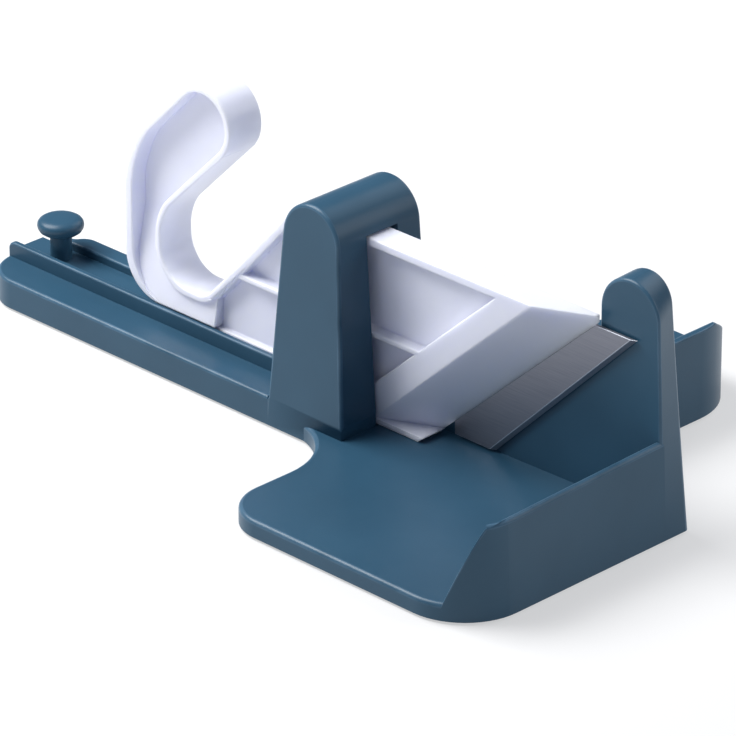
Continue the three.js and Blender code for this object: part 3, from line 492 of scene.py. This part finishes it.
soften(tray, TRAY_EDGE, tray_edge)
ramp = bmesh.new()
ramp_back = END_WALL_FRONT + RAMP_REACH
for spot in (
    (RAMP_LEFT, END_WALL_FRONT, RAMP_LOW), (RAMP_RIGHT, RAMP_FRONT, RAMP_LOW),
    (RAMP_RIGHT, ramp_back, RAMP_LOW), (RAMP_LEFT, ramp_back, RAMP_LOW),
    (RAMP_LEFT, END_WALL_FRONT, TRAY_FLOOR), (RAMP_RIGHT, RAMP_FRONT, TRAY_FLOOR),
    (RAMP_RIGHT, ramp_back, TRAY_FLOOR + RAMP_RISE), (RAMP_LEFT, ramp_back, TRAY_FLOOR),
):
    ramp.verts.new(spot)
bmesh.ops.convex_hull(ramp, input=ramp.verts[:])
tray = join(tray, ramp)
tray_hollow = [
    (TRAY_LEFT + WALL, TRAY_FRONT + WALL, LEFT_CORNER - WALL),
    (WALL_FOOT, TRAY_FRONT + WALL, HOLLOW_CORNER), (WALL_FOOT, END_WALL_FRONT - WALL),
    (TRAY_LEFT + WALL, END_WALL_FRONT - WALL),
]
tray = underside(tray, tray_hollow, TRAY_FLOOR - WALL, ("foot_tray_left", "foot_tray_right"), ())
for i in range(1, RIM_STRIPS):
    split(tray, DEEP * (TRAY_FRONT + (END_WALL_FRONT - TRAY_FRONT) * i / RIM_STRIPS), DEEP)
for vert in tray.verts:
    share = max(0, vert.co.x - TRAY_RIGHT + RIGHT_CORNER) / RIGHT_CORNER
    vert.co.x -= DRAFT * vert.co.z * share
    rise = max(0, vert.co.z - TRAY_FLOOR) / (WALL_TOP - TRAY_FLOOR)
    vert.co.z -= RIM_DROP * rise * max(0, END_WALL_FRONT - vert.co.y) / (END_WALL_FRONT - TRAY_FRONT)
piece("slice_tray_moulding", tray, slate, "base", "slate_plastic", "slice_tray")

# End wall
# The wall that the blade cuts against, in slate-blue plastic, screwed on from below: a sill level with the
# feed tray, an edge that slopes up from it, and a round-topped post that tapers towards the back.
SILL, PASSAGE_RIGHT, FLANK_SLOPE, SILL_EDGE = 15, 280, math.tan(math.radians(47)), 0.5
POST_MIDDLE, POST_RADIUS, POST_TOP = 352.6, 16.3, 111
POST_BACK_MIDDLE, POST_BACK_RADIUS, POST_BACK_DRAFT, POST_TOP_DRAFT = 350.4, 12.4, 1.5, 0.55
POST_BACK_EDGE, POST_FRONT_EDGE, POST_ROW, POST_ROWS_TOP = 2.6, 1.4, 12, 90

post_left = POST_MIDDLE - POST_RADIUS
post_meets = SILL + (post_left - PASSAGE_RIGHT) * FLANK_SLOPE
post_right = POST_MIDDLE + POST_RADIUS - POST_TOP_DRAFT
post_lean = (TRAY_RIGHT - post_right) / POST_TOP
post = facing(
    [
        (post_left, 0), *((TRAY_RIGHT - post_lean * z, z) for z in range(0, POST_ROWS_TOP, POST_ROW)),
        (post_right, POST_TOP, POST_RADIUS), (post_left, POST_TOP, POST_RADIUS - NEAR),
    ],
    END_WALL_FRONT, END_WALL_BACK,
)
narrowing = POST_BACK_RADIUS / POST_RADIUS
spring, back_spring = POST_TOP - POST_RADIUS, POST_TOP - POST_BACK_RADIUS
for vert in post.verts:
    if vert.co.y > END_WALL_BACK - NEAR:
        share = min(vert.co.z / spring, 1)
        narrow_x = POST_BACK_MIDDLE + (vert.co.x - POST_MIDDLE) * narrowing
        vert.co.x = narrow_x if vert.co.x < POST_MIDDLE else vert.co.x + (narrow_x - vert.co.x) * share
        vert.co.y += POST_BACK_DRAFT * (1 - share)
        if vert.co.z < spring:
            vert.co.z *= back_spring / spring
        else:
            vert.co.z = POST_TOP + (vert.co.z - POST_TOP) * narrowing


def post_edge(near, far):
    """Picks the edges around the post's front or back face."""
    return lambda edge: all(near < vert.co.y < far for vert in edge.verts) and middle(edge).z > CLEAR


soften(post, POST_BACK_EDGE, post_edge(END_WALL_BACK - CLEAR, END_WALL_BACK + POST_BACK_DRAFT + CLEAR))
soften(post, POST_FRONT_EDGE, post_edge(END_WALL_FRONT - CLEAR, END_WALL_FRONT + CLEAR))
wall = soften(
    facing(
        [
            (BRIDGE_FRONT, 0), (POST_MIDDLE, 0), (POST_MIDDLE, post_meets), (post_left, post_meets),
            (PASSAGE_RIGHT, SILL), (BRIDGE_FRONT, SILL),
        ],
        END_WALL_FRONT, END_WALL_BACK,
    ),
    SILL_EDGE, lambda edge: span(edge).y < NEAR and SILL - CLEAR < middle(edge).z < post_meets - CLEAR,
)
end_wall = underside(join(wall, post), (), 0, (), [f"end_wall_screw_{i}" for i in (1, 2, 3)])
piece("end_wall_moulding", end_wall, slate, "base", "slate_plastic", "end_wall")

# Feed tray
# The tray behind the blade that the sausage waits on, in slate-blue plastic: a floor level with the
# sill, and a flank on the far side that slopes up to a narrow rim and holds the sausage in line.
FEED_LEFT, FEED_RIGHT, FEED_FRONT, FEED_BACK = 228, 307.75, 54.1, 166.6
FEED_TOP, FEED_RIM, FEED_EDGE, UPRIGHT = 41, 3.5, 0.8, 10
FEED_RIGHT_CORNER, FEED_LEFT_CORNER, FEED_TIP, TIP_FALL = 33, 30, 143.5, 0.66


def trim(bm, spot, way):
    """A solid without what lies beyond a plane."""
    on_cut = split(bm, spot, way.normalized(), clear_outer=True)
    bmesh.ops.holes_fill(bm, edges=[item for item in on_cut if isinstance(item, bmesh.types.BMEdge)])
    bmesh.ops.recalc_face_normals(bm, faces=bm.faces[:])
    return bm


feed_plan = [
    (FEED_LEFT, FEED_FRONT), (FEED_RIGHT, FEED_FRONT), (FEED_RIGHT, FEED_BACK, FEED_RIGHT_CORNER),
    (FEED_LEFT, FEED_BACK, FEED_LEFT_CORNER),
]
feed = facing(
    [
        (FEED_LEFT - OVER, 0), (FEED_RIGHT + OVER, 0), (FEED_RIGHT + OVER, FEED_TOP),
        (FEED_RIGHT - FEED_RIM, FEED_TOP), (PASSAGE_RIGHT, SILL), (FEED_LEFT - OVER, SILL),
    ],
    FEED_FRONT - OVER, FEED_BACK + OVER,
)
feed = combine(feed, standing(feed_plan, 0, FEED_TOP + OVER), "INTERSECT")
feed = trim(feed, Vector((0, FEED_TIP, FEED_TOP)), Vector((0, TIP_FALL, 1)))


def feed_edge(edge):
    """Picks the feed tray's outer top edges and its rim."""
    spot = middle(edge)
    crease = abs(spot.x - PASSAGE_RIGHT) < NEAR and abs(spot.z - SILL) < NEAR
    return spot.z > CLEAR and spot.y > FEED_FRONT + CLEAR and not crease and span(edge).z < UPRIGHT


soften(feed, FEED_EDGE, feed_edge)
feed_hollow = [
    (FEED_LEFT + WALL, FEED_FRONT + WALL), (PASSAGE_RIGHT, FEED_FRONT + WALL),
    (PASSAGE_RIGHT, FEED_BACK - WALL), (FEED_LEFT + WALL, FEED_BACK - WALL, FEED_LEFT_CORNER - WALL),
]
feed = underside(feed, feed_hollow, SILL - WALL, ("foot_feed_left", "foot_feed_right"), ())
flank_skin = WALL / math.cos(math.atan(FLANK_SLOPE))
core_left, core_right = PASSAGE_RIGHT + WALL, FEED_RIGHT - WALL
feed = cut(
    feed,
    facing(
        [
            (core_left, -OVER), (core_right, -OVER),
            (core_right, SILL + (core_right - PASSAGE_RIGHT) * FLANK_SLOPE - flank_skin),
            (core_left, SILL + WALL * FLANK_SLOPE - flank_skin),
        ],
        FEED_FRONT + WALL, FEED_BACK - FEED_RIGHT_CORNER - WALL,
    ),
)
piece("feed_tray_moulding", feed, slate, "base", "slate_plastic", "feed_tray")

# Screws
# Zinc-plated self-tapping screws hold the bridge and the end wall from below, and three countersunk
# steel screws hold the blade to the carriage.
ZINC_DARK, ZINC_LIGHT = (0.50, 0.50, 0.52, 1), (0.66, 0.66, 0.69, 1)
PLATING_SCALE, ZINC_GRAIN, ZINC_DEPTH, ZINC_STRENGTH = 900, 5000, 0.00002, 0.4
ZINC_ROUGHNESS, PLATING_GLOSS = 0.24, 0.2

zinc = Finish("bright zinc", Metallic=1.0)
plating = zinc.noise(PLATING_SCALE, detail=4.0)
zinc_plate = zinc.feed(
    Base_Color=zinc.mix(plating, ZINC_DARK, ZINC_LIGHT),
    Roughness=ZINC_ROUGHNESS + PLATING_GLOSS * plating,
    Normal=zinc.bump(zinc.noise(ZINC_GRAIN), ZINC_DEPTH, ZINC_STRENGTH),
)
for name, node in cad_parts.items():
    if "screw" in name:
        node.data.materials.clear()
        node.data.materials.append(zinc_plate)

# Feet
# Six soft feet, moulded in dark rubber as discs with a plug on top. The plugs are pressed into sockets
# under the rail and the trays.
RUBBER_DARK, RUBBER_LIGHT, RUBBER_IOR = (0.016, 0.016, 0.018, 1), (0.035, 0.035, 0.038, 1), 1.52
BLOOM_SCALE, RUBBER_GRAIN, RUBBER_DEPTH, RUBBER_STRENGTH = 400, 2500, 0.00006, 0.5
RUBBER_ROUGHNESS, BLOOM_GLOSS = 0.66, 0.2

rubber = Finish("foot rubber", IOR=RUBBER_IOR)
bloom = rubber.noise(BLOOM_SCALE, detail=4.0)
foot_rubber = rubber.feed(
    Base_Color=rubber.mix(bloom, RUBBER_DARK, RUBBER_LIGHT),
    Roughness=RUBBER_ROUGHNESS + BLOOM_GLOSS * bloom,
    Normal=rubber.bump(rubber.noise(RUBBER_GRAIN), RUBBER_DEPTH, RUBBER_STRENGTH),
)
for name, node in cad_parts.items():
    if name.startswith("foot_"):
        node.data.materials.clear()
        node.data.materials.append(foot_rubber)

# Stop knob
# A turned-looking mushroom knob in slate-blue plastic. Its stem stands on the channel floor and its
# pin plugs into a hole there, so that it stops the carriage until it is pulled up.
# Its section runs from the pin's foot to the crown, as pairs of radius and height.
KNOB_SECTION = [
    (0, 3.7), (2.3, 3.7), (3, 4.5), (3, 15.8), (4.85, 15.8), (4.85, 27.2), (5.6, 27.9), (8.0, 28.2),
    (9.4, 29.2), (10.2, 30.6), (10.4, 31.8), (10.2, 33.0), (9.5, 34.0), (8.2, 34.8), (6.4, 35.15),
    (3.5, 35.3), (0, 35.4),
]
KNOB_STEPS = 64

knob = bmesh.new()
section = [knob.verts.new((radius, 0, height)) for radius, height in KNOB_SECTION]
for first, second in zip(section, section[1:]):
    knob.edges.new((first, second))
bmesh.ops.spin(
    knob, geom=knob.verts[:] + knob.edges[:], cent=(0, 0, 0), axis=UP, angle=math.tau,
    steps=KNOB_STEPS, use_merge=True,
)
bmesh.ops.remove_doubles(knob, verts=knob.verts[:], dist=MERGE)
bmesh.ops.recalc_face_normals(knob, faces=knob.faces[:])
bmesh.ops.translate(knob, vec=(KNOB_X, KNOB_Y, 0), verts=knob.verts[:])
piece("stop_knob_moulding", knob, slate, "stop_knob", "slate_plastic", "stop_knob", smooth=50)

# Carriage
# The white plate and hooked handle that the user pulls and pushes, one plastic moulding. Both are cored
# out on both sides to a thin web with a rim. A rib and a broad band along the chamfer stiffen the plate.
PLATE_FRONT, PLATE_BACK, WEB_FRONT, WEB_BACK = 21.95, 36.05, 27.5, 30.5
PLATE_LOW, PLATE_TOP, HEEL_X, HEEL_ROUND = 16, 92.4, 89.5, 2
SHOE_LOW, SHOE_TOP, SHOE_LENGTH = 8, 10.4, 27
CHAMFER_SLOPE, CHAMFER_TOP_X, CHAMFER_RUN = math.tan(math.radians(42)), 314.5, 29
NOSE_X, BAND_WIDTH, RIM = 339, 17.4, 4
RIB_LOW, RIB_HIGH, LOWER_POCKET_DEPTH = 47.3, 49.8, 2.6
RAMP_TURN, GAP_LOW_X, GAP_LOW_Z = math.radians(48.1), 124.2, 33.5
RAMP_SLOPE = math.tan(RAMP_TURN)
HANDLE_FRONT, HANDLE_BACK, HANDLE_LOW = 19.25, 38.75, 20.7
HANDLE_HEIGHT, HANDLE_REAR, HANDLE_RIM, REAR_RIM = 131, 74.5, 3, 4.7
HEEL_RADIUS, BACK_RADIUS, GRIP_RADIUS, GRIP_X = 20, 48, 17, 123.5
GAP_REAR, GAP_REAR_RADIUS, GAP_FOOT_RADIUS = 96.5, 22, 16.5
POCKET_HEEL, POCKET_RAMP_TOP, POCKET_TUCK, STEP_X, STEP_RISE = 22, 62, 2, 129.5, 0.5
RIM_START, RIM_END, RIM_VALLEY, RIM_PROUD, RIM_SINK = 114, 150, 10, 0.05, 0.2
PLATE_EDGE, HANDLE_EDGE, POCKET_EDGE, SLIVER = 0.7, 1.1, 0.8, 0.03
WHITE_DARK, WHITE_LIGHT = (0.735, 0.75, 0.85, 1), (0.765, 0.78, 0.88, 1)
# The white's rubbed colour lightens its rounded edges. This is partly wear and partly a painted highlight.
WHITE_RUBBED_AND_SHEEN, WHITE_ROUGHNESS = (0.82, 0.83, 0.91, 1), 0.34
GLOW_WEIGHT, GLOW_RADIUS, GLOW_SCALE = 0.8, (1, 1, 1.08), 0.004


def chamfer_x(top, z):
    """X of a line that rises at the chamfer's angle."""
    return top - (PLATE_TOP - z) / CHAMFER_SLOPE


def ramp_x(z):
    """X of the ramp from the finger gap up to the plate's top."""
    return GAP_LOW_X + (z - GAP_LOW_Z) / RAMP_SLOPE


def ramp_z(x):
    """Height of that ramp."""
    return GAP_LOW_Z + (x - GAP_LOW_X) * RAMP_SLOPE


def band_x(z):
    """X of the band's inner edge."""
    return chamfer_x(CHAMFER_TOP_X - BAND_WIDTH, z)


def pocket(corners, face, web, foot, foot_depth, full_from):
    """A pocket from a face of the carriage to its web, with a floor that runs out towards its foot."""
    way = 1 if web > face else -1
    outside, top = face - 2 * OVER * way, HANDLE_HEIGHT + OVER
    profile = [
        (outside, foot), (face + foot_depth * way, foot), (web, full_from), (web, top), (outside, top),
    ]
    slope = deepen(flat(profile, DEEP, UP), ACROSS * TRAY_RIGHT)
    return combine(facing(corners, min(web, outside), max(web, outside)), slope, "INTERSECT")


chamfer_back = CHAMFER_TOP_X + CHAMFER_RUN
shoe_right = chamfer_x(chamfer_back, SHOE_LOW)
shoe_left = shoe_right - SHOE_LENGTH
rim_across = RIM / math.sin(RAMP_TURN)
plate = facing(
    [
        (HEEL_X, PLATE_LOW, HEEL_ROUND), (shoe_left, PLATE_LOW), (shoe_left, SHOE_LOW),
        (shoe_right, SHOE_LOW),
        (NOSE_X, PLATE_TOP - (chamfer_back - NOSE_X) * CHAMFER_SLOPE), (NOSE_X, PLATE_TOP),
        (ramp_x(PLATE_TOP), PLATE_TOP, RIM), (GAP_LOW_X, GAP_LOW_Z), (HEEL_X, LIP_TOP + RIM),
    ],
    PLATE_FRONT, PLATE_BACK,
)
wedge_front = PLATE_FRONT - 2 * OVER
wedge_reach = (PLATE_BACK - wedge_front) * CHAMFER_RUN / (PLATE_BACK - PLATE_FRONT)
wedge = bmesh.new()
for z in (SHOE_TOP, PLATE_TOP + 2 * OVER):
    back_x = chamfer_x(chamfer_back, z)
    wedge.verts.new((back_x, PLATE_BACK, z))
    wedge.verts.new((back_x - wedge_reach, wedge_front, z))
    wedge.verts.new((back_x + CHAMFER_RUN, wedge_front, z))
bmesh.ops.convex_hull(wedge, input=wedge.verts[:])
plate = cut(plate, wedge)
flange, foot = PLATE_TOP - RIM, PLATE_LOW + RIM
pocket_left = STEP_X - POCKET_TUCK
upper_pocket = [
    (ramp_x(RIB_HIGH) + rim_across, RIB_HIGH), (band_x(RIB_HIGH), RIB_HIGH), (band_x(flange), flange),
    (ramp_x(flange) + rim_across, flange),
]
lower_pocket = [
    (pocket_left, foot), (band_x(foot), foot), (band_x(RIB_LOW), RIB_LOW),
    (ramp_x(RIB_LOW) + rim_across, RIB_LOW), (pocket_left, ramp_z(pocket_left - rim_across)),
]
for face, web in ((PLATE_FRONT, WEB_FRONT), (PLATE_BACK, WEB_BACK)):
    plate = cut(
        plate, pocket(upper_pocket, face, web, RIB_HIGH, abs(web - face), flange),
        pocket(lower_pocket, face, web, foot, LOWER_POCKET_DEPTH, RIB_LOW),
    )
soften(plate, PLATE_EDGE, lambda edge: middle(edge).z > PLATE_LOW + CLEAR, segments=3)
bmesh.ops.dissolve_degenerate(plate, edges=plate.edges[:], dist=SLIVER)


def hook(rim, rear_rim):
    """The hook's corners from the finger gap round the grip to its rear, moved in by a rim."""
    grip_z = HANDLE_HEIGHT - GRIP_RADIUS
    edge = GRIP_RADIUS - rim
    tip = math.sqrt(2) * edge
    rear = HANDLE_REAR + rear_rim
    back_line, gap_line = grip_z - GRIP_X + tip, grip_z - GRIP_X - tip
    gap = GAP_REAR - rim
    return [
        (gap, GAP_LOW_Z - rim, GAP_FOOT_RADIUS + rim), (gap, gap_line + gap, GAP_REAR_RADIUS + rim),
        (GRIP_X + tip, grip_z, edge), (GRIP_X, back_line + GRIP_X, edge),
        (rear, back_line + rear, BACK_RADIUS - rim),
    ]


ramp_side = Vector((math.sin(RAMP_TURN), -math.cos(RAMP_TURN)))
valley = Vector((GAP_LOW_X, GAP_LOW_Z))
valley_side = Vector((math.tan(RAMP_TURN / 2), -1))
valley_inside = (*valley + valley_side * HANDLE_RIM, RIM_VALLEY + HANDLE_RIM)

handle = soften(
    facing(
        [
            (HANDLE_REAR, HANDLE_LOW, HEEL_RADIUS), (STEP_X, HANDLE_LOW), (STEP_X, GAP_LOW_Z + STEP_RISE),
            valley, *hook(0, 0),
        ],
        HANDLE_FRONT, HANDLE_BACK,
    ),
    HANDLE_EDGE, lambda edge: middle(edge).x < STEP_X - CLEAR, sharp=35,
)
pocket_right = STEP_X + POCKET_TUCK
inside = [
    (HANDLE_REAR + REAR_RIM, HANDLE_LOW, POCKET_HEEL), (pocket_right, HANDLE_LOW),
    (pocket_right, ramp_z(pocket_right) - HANDLE_RIM / math.cos(RAMP_TURN)),
    valley_inside, *hook(HANDLE_RIM, REAR_RIM),
]
for face, web in ((HANDLE_FRONT, WEB_FRONT), (HANDLE_BACK, WEB_BACK)):
    handle = cut(handle, pocket(inside, face, web, HANDLE_LOW, 0, POCKET_RAMP_TOP))


def pocket_rim(edge):
    """Picks the edges where a pocket of the hook opens to the front or the back, above its shallow foot."""
    on_face = any(
        all(abs(vert.co.y - face) < NEAR for vert in edge.verts) for face in (HANDLE_FRONT, HANDLE_BACK)
    )
    return on_face and middle(edge).z > GAP_LOW_Z


soften(handle, POCKET_EDGE, pocket_rim, segments=3, sharp=45)

# A rounded rim bends from the hook's foot into the ramp, and thins from the hook's width to the plate's.
rim_left = Vector((RIM_START, GAP_LOW_Z - RIM_SINK))
rim_right = Vector((RIM_END, ramp_z(RIM_END))) + ramp_side * RIM_SINK
valley_rim = soften(
    facing(
        [
            rim_left, (*valley, RIM_VALLEY), rim_right, rim_right + ramp_side * HANDLE_RIM,
            valley_inside, (RIM_START, GAP_LOW_Z - HANDLE_RIM + RIM_SINK),
        ],
        HANDLE_FRONT - RIM_PROUD, HANDLE_BACK + RIM_PROUD,
    ),
    HANDLE_EDGE, sharp=35,
)
plate_middle = (PLATE_FRONT + PLATE_BACK) / 2
thinner = 1 - (PLATE_BACK - PLATE_FRONT) / (HANDLE_BACK - HANDLE_FRONT)
for vert in valley_rim.verts:
    share = min(1, max(0, (vert.co.x - GAP_LOW_X) / (RIM_END - GAP_LOW_X)))
    vert.co.y = plate_middle + (vert.co.y - plate_middle) * (1 - thinner * share)

white = moulded_plastic(
    "white plastic", WHITE_DARK, WHITE_LIGHT, WHITE_RUBBED_AND_SHEEN, WHITE_ROUGHNESS,
    Subsurface_Weight=GLOW_WEIGHT, Subsurface_Radius=GLOW_RADIUS, Subsurface_Scale=GLOW_SCALE,
)
piece("carriage_moulding", join(plate, handle, valley_rim), white, "carriage", "white_plastic", "carriage")

# Blade
# A slanted strip of brushed stainless steel, stamped out, ground to an edge on its front face and
# screwed flat to the carriage's back.
BLADE_FRONT, BLADE_BACK, BLADE_FOOT, BLADE_TOP = 36.15, 37.65, 9.5, 86.3
BLADE_EDGE_X, BLADE_FOOT_WIDTH, BLADE_TOP_WIDTH = 280.2, 22.6, 44
BLADE_TURN = math.radians(44.6)
BLADE_SLOPE = math.tan(BLADE_TURN)
GROUND_WIDTH, EDGE_THICKNESS, BLADE_BURR, BACK_ZONE = 1.8, 0.3, 0.22, 0.5
SCREW_HEAD, SCREW_SHANK, HEAD_CLEARANCE, SINK_SIDES = 3.1, 1.8, 0.3, 40
# The brightest steel colour goes on the blade's rounded edges. It is partly wear and partly a painted
# highlight.
STEEL_DARK, STEEL_LIGHT, STEEL_WORN_AND_SHEEN = (0.21, 0.215, 0.25, 1), (0.34, 0.345, 0.39, 1), (0.62, 0.64, 0.7, 1)
BRUSH_ALONG, BRUSH_ACROSS, BRUSH_DEPTH, BRUSH_STRENGTH, PATCH_SCALE = 60, 2600, 0.00003, 0.4, 35
STEEL_ROUGHNESS, BRUSH_GLOSS, PATCH_GLOSS, WORN_GLOSS = 0.3, 0.16, 0.08, 0.15

tip_x = BLADE_EDGE_X + (BLADE_TOP - BLADE_FOOT) / BLADE_SLOPE
foot_x = BLADE_EDGE_X - BLADE_FOOT_WIDTH
blade = facing(
    [
        (foot_x, BLADE_FOOT), (BLADE_EDGE_X, BLADE_FOOT), (tip_x, BLADE_TOP),
        (tip_x - BLADE_TOP_WIDTH, BLADE_TOP),
        (foot_x, BLADE_FOOT + (BLADE_TOP_WIDTH - BLADE_FOOT_WIDTH) * BLADE_SLOPE),
    ],
    BLADE_FRONT, BLADE_BACK,
)
edge_way = Vector((1, 0, BLADE_SLOPE)).normalized()
edge_side = Vector((BLADE_SLOPE, 0, -1)).normalized()
ground_start = Vector((BLADE_EDGE_X, BLADE_FRONT, BLADE_FOOT)) - edge_side * GROUND_WIDTH
ground_way = edge_side * GROUND_WIDTH + DEEP * (BLADE_BACK - EDGE_THICKNESS - BLADE_FRONT)
blade = trim(blade, ground_start, ground_way.cross(edge_way))


def blade_edge(edge):
    """Picks the edges of the blade's front face and its ground strip, but not those by its foot."""
    spot = middle(edge)
    return BLADE_FRONT - NEAR < spot.y < BLADE_BACK - BACK_ZONE and spot.x > foot_x + OVER


soften(blade, BLADE_BURR, blade_edge, segments=2, sharp=15)

for screw in ("blade_screw_1", "blade_screw_2", "blade_screw_3"):
    x, _, low = spot_of(screw)
    sink = bmesh.new()
    bmesh.ops.create_cone(
        sink, cap_ends=True, segments=SINK_SIDES, radius1=SCREW_HEAD, radius2=SCREW_SHANK,
        depth=BLADE_BACK - BLADE_FRONT,
        matrix=Matrix.Translation((x, (BLADE_FRONT + BLADE_BACK) / 2, low + SCREW_HEAD - HEAD_CLEARANCE))
        @ Matrix.Rotation(math.radians(90), 4, "X"),
    )
    blade = cut(blade, sink)

steel = Finish("brushed steel", Metallic=1.0)
brushing = steel.noise(1.0, turn=(0, BLADE_TURN, 0), stretch=(BRUSH_ALONG, BRUSH_ACROSS, BRUSH_ACROSS))
patches = steel.noise(PATCH_SCALE)
# The blade's rounded edges are mixed towards a brighter steel, partly wear and partly a painted highlight
# along its edges.
brushed_steel = steel.feed(
    Base_Color=steel.mix(steel.wear_and_sheen(), steel.mix(brushing, STEEL_DARK, STEEL_LIGHT), STEEL_WORN_AND_SHEEN),
    Roughness=(
        STEEL_ROUGHNESS + BRUSH_GLOSS * brushing + PATCH_GLOSS * patches + WORN_GLOSS * steel.wear_and_sheen()
    ),
    Normal=steel.bump(brushing, BRUSH_DEPTH, BRUSH_STRENGTH),
)
piece("blade_strip", blade, brushed_steel, "carriage", "blade_steel", "blade", smooth=10)

# Floor, light and camera
# A pale studio floor that runs out of sight, a soft light from above on the left, weaker ones behind
# and on the far right, and a long lens from the height and side that the slicer is shown from.
FLOOR_REACH, PAPER_SCALE, PAPER_ROUGHNESS, PAPER_GLOW = 12, 3, 0.9, 0.52
PAPER_DARK, PAPER_LIGHT, PAPER_GLOW_COLOUR = (0.35, 0.35, 0.35, 1), (0.37, 0.37, 0.37, 1), (1, 1, 1, 1)
STUDIO_COLOUR, STUDIO_STRENGTH = (0.7, 0.78, 1.0, 1), 0.22
CAMERA_TARGET, CAMERA_DISTANCE = Vector((0.0559, -0.0453, 0.0485)), 2.57
CAMERA_TURN, CAMERA_TILT = math.radians(45.01), math.radians(25.96)
LENS, SENSOR_WIDTH = 304.5, 36

floor_mesh = bpy.data.meshes.new("floor")
floor_bm = bmesh.new()
bmesh.ops.create_grid(floor_bm, x_segments=1, y_segments=1, size=FLOOR_REACH)
floor_bm.to_mesh(floor_mesh)
floor_bm.free()
floor = bpy.data.objects.new("floor", floor_mesh)
bpy.context.scene.collection.objects.link(floor)
paper = Finish(
    "studio paper", Roughness=PAPER_ROUGHNESS, Emission_Color=PAPER_GLOW_COLOUR, Emission_Strength=PAPER_GLOW
)
floor_mesh.materials.append(
    paper.feed(Base_Color=paper.mix(paper.noise(PAPER_SCALE), PAPER_DARK, PAPER_LIGHT))
)

world = bpy.data.worlds.new("studio")
world.use_nodes = True
background = world.node_tree.nodes["Background"]
background.inputs["Color"].default_value = STUDIO_COLOUR
background.inputs["Strength"].default_value = STUDIO_STRENGTH
bpy.context.scene.world = world

for name, place, size, power in (
    ("softbox", (-0.7, -0.4, 1.15), 1.0, 32),
    ("strip", (-1.21, -0.83, 1.26), 0.3, 2),
    ("back light", (0, 1.1, 0.9), 0.8, 4),
    ("side light", (1.0, 0.8, 0.7), 0.7, 4),
):
    light = bpy.data.lights.new(name, "AREA")
    light.size = size
    light.energy = power
    lamp = bpy.data.objects.new(name, light)
    lamp.location = place
    lamp.rotation_euler = (-Vector(place)).to_track_quat("-Z", "Y").to_euler()
    bpy.context.scene.collection.objects.link(lamp)

view_way = Vector((
    math.sin(CAMERA_TURN) * math.cos(CAMERA_TILT), -math.cos(CAMERA_TURN) * math.cos(CAMERA_TILT),
    math.sin(CAMERA_TILT),
))
camera_data = bpy.data.cameras.new("camera")
camera_data.lens = LENS
camera_data.sensor_width = SENSOR_WIDTH
camera = bpy.data.objects.new("camera", camera_data)
camera.location = CAMERA_TARGET + view_way * CAMERA_DISTANCE
camera.rotation_euler = (-view_way).to_track_quat("-Z", "Y").to_euler()
bpy.context.scene.collection.objects.link(camera)
bpy.context.scene.camera = camera
bpy.context.scene.view_settings.view_transform = "Standard"
